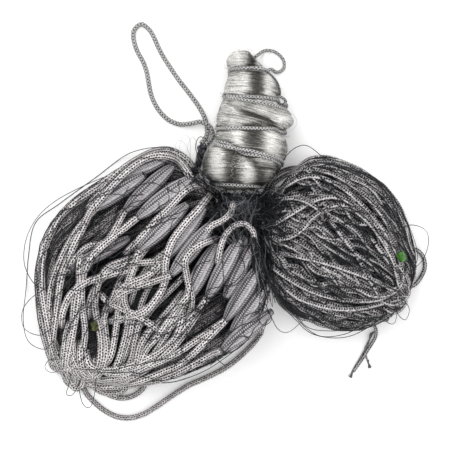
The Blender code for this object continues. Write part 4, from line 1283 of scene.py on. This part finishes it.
def fan_threads(strands, heights, count, starts, ends, radius, bow, pale):
    """Dark netting that spreads from the neck: threads from one patch of the layout to another."""
    for _ in range(count):
        x0, y0 = RNG.uniform(starts[0], starts[1]), RNG.uniform(starts[2], starts[3])
        x1, y1 = RNG.uniform(ends[0], ends[1]), RNG.uniform(ends[2], ends[3])
        share = np.linspace(0, 1, 7)
        side = np.array((y0 - y1, x1 - x0)) / max(1.0, math.hypot(x1 - x0, y1 - y0))
        curve = RNG.normal() * bow * np.sin(math.pi * share) + wander(share, 0.25 * bow, (1, 2))
        spots = [(x0 + (x1 - x0) * s + side[0] * c, y0 + (y1 - y0) * s + side[1] * c)
                 for s, c in zip(share, curve)]
        points = heights.lay(laid(spots), radius, step=2.6, steep=1.1, ease=4.0, sink=RNG.uniform(-0.5, 2.0))
        ends_in = np.minimum(np.arange(len(points)), np.arange(len(points))[::-1]) * 2.6
        points[:, 2] -= 2.5 * np.clip(1 - ends_in / 8.0, 0, 1)
        raise_to(points, radius)
        tone = RNG.uniform(0.4, 1.0) if RNG.random() < pale else RNG.uniform(0.0, 0.12)
        strands.add(points, radius * RNG.uniform(0.7, 1.3), tone=tone)


def arch_line(heights, line):
    """Float line that arches over the neck and dips in at both ends."""
    arches = Strands(10)
    for route in NECK_ARCHES:
        points = heights.lay(laid(route), ARCH, step=2.4, steep=0.4, ease=12.0, sink=0.5, flat=FLOAT_FLAT)
        along = travelled(points)
        points[:, 2] -= 9.0 * near_end(np.minimum(along, along[-1] - along), 12.0)
        arches.add(points, ARCH, ups=np.tile(UP, (len(points), 1)), flat=FLOAT_FLAT, tone=0.95, shade=0.7)
        heights.add(points, ARCH, FLOAT_FLAT)
    arches.mesh("neck_arches", line, "float_line")


def dress_neck(heights, line, netting, dark):
    """The gathered neck: its dark mass, the threads that fan from it and the line that arches over."""
    make_core("gathered_neck", 2.5, dark)
    heights.add_form(WoundForm(NECK_ROWS), 1.5)
    fans = Strands(3)
    for fan in NECK_FANS:
        fan_threads(fans, heights, *fan)
    arch_line(heights, line)
    fan_threads(fans, heights, *TOP_FAN)
    fans.mesh("neck_netting", netting, "dark_netting")


# Pale bundle

def sheen(points, outward, sunk):
    """How bright a wrap is at a place: bands of sheen on the upper side, dim in grooves and creases."""
    x, y = points[..., 0] + ORIGIN[0], ORIGIN[1] - points[..., 1]
    level = np.full(x.shape, 0.72)
    for place, low, high, gain, width in SHEEN:
        within = np.clip((y - low) / 4, 0, 1) * np.clip((high - y) / 4, 0, 1)
        level = level + 1.35 * gain * within * np.exp(-((x - place) / width) ** 2)
    up = np.clip(outward[..., 2] * 2.0 + 0.4, 0, 1)
    return level * up + 0.42 * (1 - up) - 0.15 * np.clip(sunk - 0.7, 0, 6)


def bundle_skin(form, inset, finish):
    """The closed surface under the outermost wraps."""
    rows, columns = form.rings[::2, :-1:2], form.rings.shape[1] // 2
    normals = form.normals[::2, :-1:2]
    points = rows - normals * inset
    count = len(points)
    index = np.arange(count * columns).reshape(count, columns)
    ahead = np.roll(index, -1, axis=1)
    quads = np.stack([index[:-1], ahead[:-1], ahead[1:], index[1:]], axis=2).reshape(-1, 4)
    caps = np.stack([index[0, ::-1], index[-1]])
    uvs = np.zeros(2 * (quads.size + caps.size))
    # Painted sheen and shade of the wraps, set a little darker on the skin beneath them.
    tones = np.clip(sheen(points, normals, form.sunk[::2, :-1:2, 0]) - 0.22, 0, 1)
    made = mesh_of("wound_netting", points.reshape(-1, 3), [quads[:, ::-1], caps[:, ::-1]], uvs, tones.ravel())
    obj = piece("wound_netting", made, finish)
    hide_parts("netting_bundle")


def wrap_netting(form, strands, count):
    """Wraps of fine netting, each a fibre that goes part or all of the way round the bundle."""
    falls = list(zip(*WRAP_FALL))
    for _ in range(count):
        y = RNG.uniform(51, 189)
        reach = RNG.uniform(0.4, 1.05)
        share = np.linspace(0, 1, max(12, round(44 * reach)))
        turn = RNG.random() + reach * share
        fall = np.interp(y, *falls) + RNG.normal() * 2.0
        route_y = y + 0.5 * fall * np.cos(2 * math.pi * turn) + wander(share, 0.8, (1, 2))
        points, outward = form.at(form.station_at(route_y), turn)
        # Painted sheen and shade from the SHEEN bands, with a random tone for each fibre.
        gloss = sheen(points, outward, form.depth_there) + RNG.normal() * 0.17
        stray = 2.2 * abs(RNG.normal()) if RNG.random() < 0.06 else 0.0
        offset = RNG.uniform(-0.35, 0.35) + wander(share, 0.2, (2, 3)) + stray * np.sin(math.pi * share) ** 2
        points = points + outward * offset[:, None]
        raise_to(points, 0.4)
        gloss = gloss + wander(share, 0.1, (5, 9))
        strands.add(points, RNG.uniform(0.2, 0.42) if not stray else 0.16, ups=outward,
                    tone=np.clip(gloss, 0, 1), shade=0.12)


def tangle_wraps(form, strands, count):
    """Slack fibres that wave over the dim middle of the lower lobe."""
    for _ in range(count):
        share = np.linspace(0, 1, 26)
        y = RNG.uniform(150, 166) + share * RNG.uniform(12, 24)
        turn = RNG.uniform(0.27, 0.34) + wander(share, 0.012, (1, 2, 4, 6))
        points, outward = form.at(form.station_at(y), turn)
        strands.add(points + outward * 0.5, 0.2, ups=outward, tone=RNG.uniform(0.3, 0.7))


def lashing_points(form, first, last, shifts):
    """The lashing's line from one number of turns to another, moved down the bundle at its two ends."""
    turns = np.linspace(first, last, max(12, round(125 * (last - first))))
    levels = np.interp(turns, *zip(*LASHING_WAY)) + np.linspace(*shifts, len(turns))
    points, outward = form.at(form.station_at(levels), turns % 1.0)
    points = points + outward * (LASHING + 0.15)
    points = smoothed(np.pad(points, ((4, 4), (0, 0)), mode="edge"), hump(9))
    raise_to(points, LASHING + 0.1)
    return points


def knot_points(centre, size):
    """An overhand knot drawn small."""
    t = np.linspace(0, 2 * math.pi, 60)
    shape = np.stack([np.sin(t) + 2 * np.sin(2 * t), np.cos(t) - 2 * np.cos(2 * t), -np.sin(3 * t)], axis=1)
    return np.asarray(centre) + shape / 3 * size


def make_lashing(form, finish, twist):
    """The lashing with its two doubled stretches, a thin edge cord, and the knot with its tail."""
    strands = Strands(14)
    runs = ((LASHING_WAY[0][0], LASHING_WAY[-1][0], 0, 0), (2.96, 3.42, 13, 2), (1.0, 1.5, -3.3, -3.3))
    for first, last, *shifts in runs:
        strands.add(resampled(lashing_points(form, first, last, shifts), 1.2), LASHING, tone=0.8, relief=twist)
    share = np.linspace(0, 1, 24)
    edge, outward = form.at(form.station_at(72 + 25 * share), 0.17 - 0.12 * share ** 0.5)
    strands.add(resampled(edge + outward * 1.0, 1.2), 1.1, tone=0.2)
    knot_at = form.at(form.station_at(np.array([108.0])), np.array([0.03]))[0][0] + (1.5, 0, 4.0)
    strands.add(knot_points(knot_at, 4.6), 1.6, tone=0.5, relief=twist)
    tail = smooth_route(knot_at + np.array(((0, 2, 1), (3, 6, 2), (-2, 10, 4), (-8, 9, 7))), 1.2)
    strands.add(tail, 1.5, tone=0.5, relief=twist)
    made = strands.mesh("bundle_lashing", finish, "braided_cord")
    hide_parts("bundle_lashing")


# Whipping and tail

def make_whipping(twine, cord):
    """Black twine wound round the two ends of the hanging loop, with a knot at its head."""
    route = smooth_route(laid(WHIPPING), 0.5)
    along = travelled(route)
    tangents = unit(np.gradient(route, axis=0))
    ups = carried_ups(tangents)
    sides = np.cross(tangents, ups)
    wound = Strands(8)
    turns = along[-1] / 1.7
    fine = np.linspace(0, along[-1], int(turns * 14))
    centre, up, side = (columns_at(fine, along, table) for table in (route, ups, sides))
    angle = (2 * math.pi * turns * fine / along[-1])[:, None]
    reach = (2.5 + 0.5 * np.sin(fine * 0.7) + 0.9 * np.exp(-((fine - along[-1] + 5) / 4) ** 2))[:, None]
    points = centre + reach * (np.cos(angle) * side + np.sin(angle) * up)
    raise_to(points, 0.9)
    wound.add(points, 0.95, tone=0.03 + 0.4 * np.maximum(0, np.cos(3.7 * angle[:, 0])) ** 3)
    for size, lift in ((3.6, 2.0), (4.4, 0.5)):
        wound.add(knot_points(route[-10] + (0, 0, lift), size), 1.2, tone=0.5)
    made = wound.mesh("loop_whipping", twine, "dark_netting")
    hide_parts("loop_whipping")
    inner = Strands(10)
    for shift in (-1.7, 1.7):
        inner.add(route + sides * shift, 1.9, tone=0.2)
    inner.mesh("whipped_ends", cord, "braided_cord")


def fray_tail(strands):
    """The split and frayed end of the lead line."""
    ends = (((376, 333, 3), (371, 343, 2), (367, 352, 1.6), (369, 360, 1.4), (371, 366, 1.2)),
            ((373, 334, 5), (370, 346, 2.4), (363, 359, 1.8), (357, 369, 1.6), (353, 377, 1.4)))
    for route in ends:
        strands.add(smooth_route(laid(route), 1.2), 0.9, tone=0.5)
    for tip, way in (((355.0, 374.0, 1.8), (-2.6, 5.4)), ((371, 365, 1.3), (1.2, 5.0))):
        for _ in range(14):
            turn = RNG.normal() * 0.22
            dx = way[0] * math.cos(turn) - way[1] * math.sin(turn)
            dy = way[0] * math.sin(turn) + way[1] * math.cos(turn)
            hair = ((tip[0] - dx * 0.6, tip[1] - dy * 0.6, tip[2]),
                    (tip[0] + dx * 0.5, tip[1] + dy * 0.5, tip[2] * 0.9 + RNG.uniform(-0.4, 0.6)),
                    (tip[0] + dx * 1.1, tip[1] + dy * 1.1, max(0.4, tip[2] + RNG.uniform(-1.2, 0.8))))
            strands.add(smooth_route(laid(hair), 1.0), 0.24, tone=RNG.random())


def painted_hollow_shade(points):
    """How much painted shade darkens turns in the skein's open middle."""
    x, y = plan(HOLLOW[0] + 14, HOLLOW[1] - 20)
    away = np.hypot(points[:, 0] - x, (points[:, 1] - y) * 0.8) / 44
    return 0.7 * np.exp(-away ** 4)


def dress_float_skein(heights, line, sleeve, twine, dark):
    """The float line's skein, from its deepest turns to those on top."""
    form = WoundForm(FLOAT_ROWS, shaping=sink_hollow)
    axes = [spindle_of(name) for name in numbered("float_")]
    skein = Skein(form, heights, FLOAT_LINE, FLOAT_FLAT, 10, 0.9, near_floats(axes, 9.0, 7.0), painted_hollow_shade)
    heights.add_form(form, 3.0)
    # The deeper layers get low tones: painted shade under the outer turns.
    skein.wind_base(42, (-4.6, -2.8), 0.012, (0.0, 7.0), (0.0, 0.2))
    buried = Strands(3)
    strew_threads(buried, heights, form, 150, (0.0, 0.6), (0.2, 0.5), (-0.02, 0.52), 0.42, 1.0, sink=0.3)
    strew_threads(buried, heights, form, 110, (0.3, 0.6), (0.15, 0.35), (0.1, 0.4), 0.42, 1.6, sink=0.2)
    skein.wind_second(15, (0.36, 0.48), (0.02, 0.14), (0.88, 1.0), (-1.3, 0.0), 0.010, (0.05, 0.5))
    skein.wind_straight(9, (0.02, 0.25), (0.6, 0.9), (0.38, 0.5), (-0.9, 0.3), 0.010, (0.05, 0.5))
    skein.wind_straight(7, (0.2, 0.45), (0.4, 0.7), (0.0, 0.12), (-0.9, 0.3), 0.010, (0.05, 0.5))
    skein.wind_straight(6, (0.0, 0.08), (0.4, 0.5), (0.3, 0.42), (-0.9, 0.0), 0.010, (0.05, 0.5))
    strew_threads(buried, heights, form, 110, (0.0, 0.6), (0.2, 0.5), (-0.02, 0.52), 0.42, 1.2, sink=1.0)
    ties = Strands(8)
    dress_floats(heights, sleeve, ties)
    feet = [foot for _, foot in axes]
    ceiling = heights.ceiling(5, 9.0)
    # Painted shade: turns in the hollow all get one low tone.
    skein.lay_over(HOLLOW_TURNS, 1.0, ceiling, (), 1.1, tone_of_all=0.62)
    skein.lay_over(FLOAT_TURNS[FLOAT_TURN_SOLIDS:], 1.4, ceiling, feet, 1.2)
    skein.lay_over(FLOAT_TURNS[:FLOAT_TURN_SOLIDS], 1.2, ceiling, (), 1.28)
    for route in LOW_LOOPS:
        skein.over.add(smooth_route(laid(route), 2.0), FLOAT_LINE, tone=0.85, shade=0.2)
    skein.meshes("float_line", line)
    buried.mesh("buried_twine", twine, "dark_netting")
    ties.mesh("float_ties", twine, "dark_netting")
    make_core("float_line_skein", 6.5, dark)
    return form


def dress_lead_skein(heights, lead, twine, dark, twist):
    """The lead line's skein, with dark twine between its turns."""
    form = WoundForm(LEAD_ROWS, shaping=rumple_lead)
    skein = Skein(form, heights, LEAD_LINE, LEAD_FLAT, 8, 0.75)
    heights.add_form(form, 3.0)
    # The deeper layers get low tones: painted shade under the outer turns.
    skein.wind_base(40, (-5.0, -3.6), 0.010, (0.0, 5.0), (0.1, 0.35))
    threads = Strands(3)
    strew_threads(threads, heights, form, 170, (0.0, 0.5), (0.3, 0.6), (-0.02, 0.52), 0.8, 0.8, sink=0.6)
    skein.wind_straight(46, (0.0, 0.12), (0.75, 0.95), (-0.11, 0.61), (-0.9, 0.5), 0.012, (0.35, 0.85), 0.004)
    strew_threads(threads, heights, form, 30, (0.0, 0.6), (0.2, 0.5), (0.0, 0.5), 0.7, 0.8, sink=0.8)
    skein.wind_straight(30, (0.0, 0.6), (0.3, 0.5), (0.0, 0.5), (0.6, 1.8), 0.014, (0.65, 1.0), 0.005)
    skein.wind_second(6, (0.30, 0.46), (0.04, 0.22), (0.86, 1.0), (0.4, 1.8), 0.014, (0.6, 1.0))
    strew_threads(threads, heights, form, 40, (0.0, 0.6), (0.2, 0.5), (0.0, 0.5), 0.5, 0.7, sink=0.5)
    ties = Strands(6)
    dress_leads(heights, lead, ties, twist)
    skein.lay_over(LEAD_TURNS, 0.8, heights.ceiling(4, 6.0))
    skein.meshes("lead_line", lead)
    threads.mesh("lead_line_twine", twine, "dark_netting")
    ties.mesh("lead_ties", twine, "dark_netting")
    make_core("lead_line_skein", 5.0, dark)
    return form


def main():
    make_stage()
    line = knitted_finish("float_line_knit", (0.90, 0.855, 0.86), (0.016, 0.014, 0.016), 9, 0.0028, 0.0006)
    lead = knitted_finish("lead_line_knit", (0.66, 0.635, 0.64), (0.008, 0.009, 0.010), 4, 0.0025, 0.0006,
                          0.7, 0.03, -math.pi / 4)
    cord = braided_finish("cord_braid", (0.72, 0.72, 0.71), (0.012, 0.012, 0.012), 3, 0.0033, 0.0006, 1.7)
    sleeve = sleeve_finish()
    twine = twine_finish("black_twine", (0.006, 0.0065, 0.008), (0.045, 0.048, 0.054))
    netting = twine_finish("dark_fine_netting", (0.003, 0.0035, 0.005), (0.20, 0.205, 0.225), 0.03)
    clear = twine_finish("clear_filament", (0.42, 0.42, 0.42), (0.75, 0.75, 0.74))
    dark = core_finish("dark_mass", (0.004, 0.0042, 0.005), (0.035, 0.036, 0.04))
    silver = silver_finish()

    twist = yarn_relief(4, 3.2, 0.07)
    for name, route, radius, finish, slot, far_end in (
            ("hanging_loop", HANGING_LOOP, 2.3, cord, "braided_cord", "object"),
            ("trailing_loop", TRAILING_LOOP, 2.8, line, "float_line", "object"),
            ("low_loop", LOW_LOOP, 2.8, line, "float_line", "object"),
            ("crown_loop", CROWN_LOOP, 1.7, cord, "braided_cord", "object"),
            ("side_loop", SIDE_LOOP, 2.1, lead, "lead_line", "object"),
            ("tail_end", TAIL_END, 1.7, lead, "lead_line", "bare")):
        lay_cord(name, route, radius, finish, slot, twist)

    heights = Heights()
    float_form = dress_float_skein(heights, line, sleeve, twine, dark)
    lead_form = dress_lead_skein(heights, lead, twine, dark, twist)
    dress_marker("green_marker", plastic_finish("green_sheet", (0.09, 0.33, 0.03), (0.02, 0.09, 0.012)), 3.5)
    dress_marker("olive_marker", plastic_finish("olive_sheet", (0.10, 0.11, 0.025), (0.03, 0.035, 0.01)), 2.4)

    bundle = WoundForm(BUNDLE_ROWS, BUNDLE_FLOOR, draw_in_lobes)
    bundle_skin(bundle, 0.5, silver)
    wraps = Strands(3)
    wrap_netting(bundle, wraps, 740)
    tangle_wraps(bundle, wraps, 8)
    wraps.mesh("netting_wraps", silver, "pale_netting")
    make_lashing(bundle, cord, twist)
    heights.add_form(bundle, 0.0)

    dress_neck(heights, line, netting, dark)

    loose = Strands(4)
    lay_strays(loose, heights, STRAY_THREADS, 0.38)
    strew_threads(loose, heights, float_form, 46, (0.0, 0.6), (0.2, 0.5), (0.0, 0.5), 0.36, 1.4)
    strew_threads(loose, heights, lead_form, 50, (0.0, 0.5), (0.3, 0.6), (0.0, 0.5), 0.36, 1.2)
    loose.mesh("loose_twine", twine, "dark_netting")
    hairs = Strands(4)
    lay_strays(hairs, heights, CLEAR_LOOPS, 0.22)
    hairs.mesh("clear_filaments", clear, "pale_netting")

    make_whipping(netting, cord)
    frayed = Strands(5)
    fray_tail(frayed)
    frayed.mesh("tail_fray", lead, "lead_line")


main()
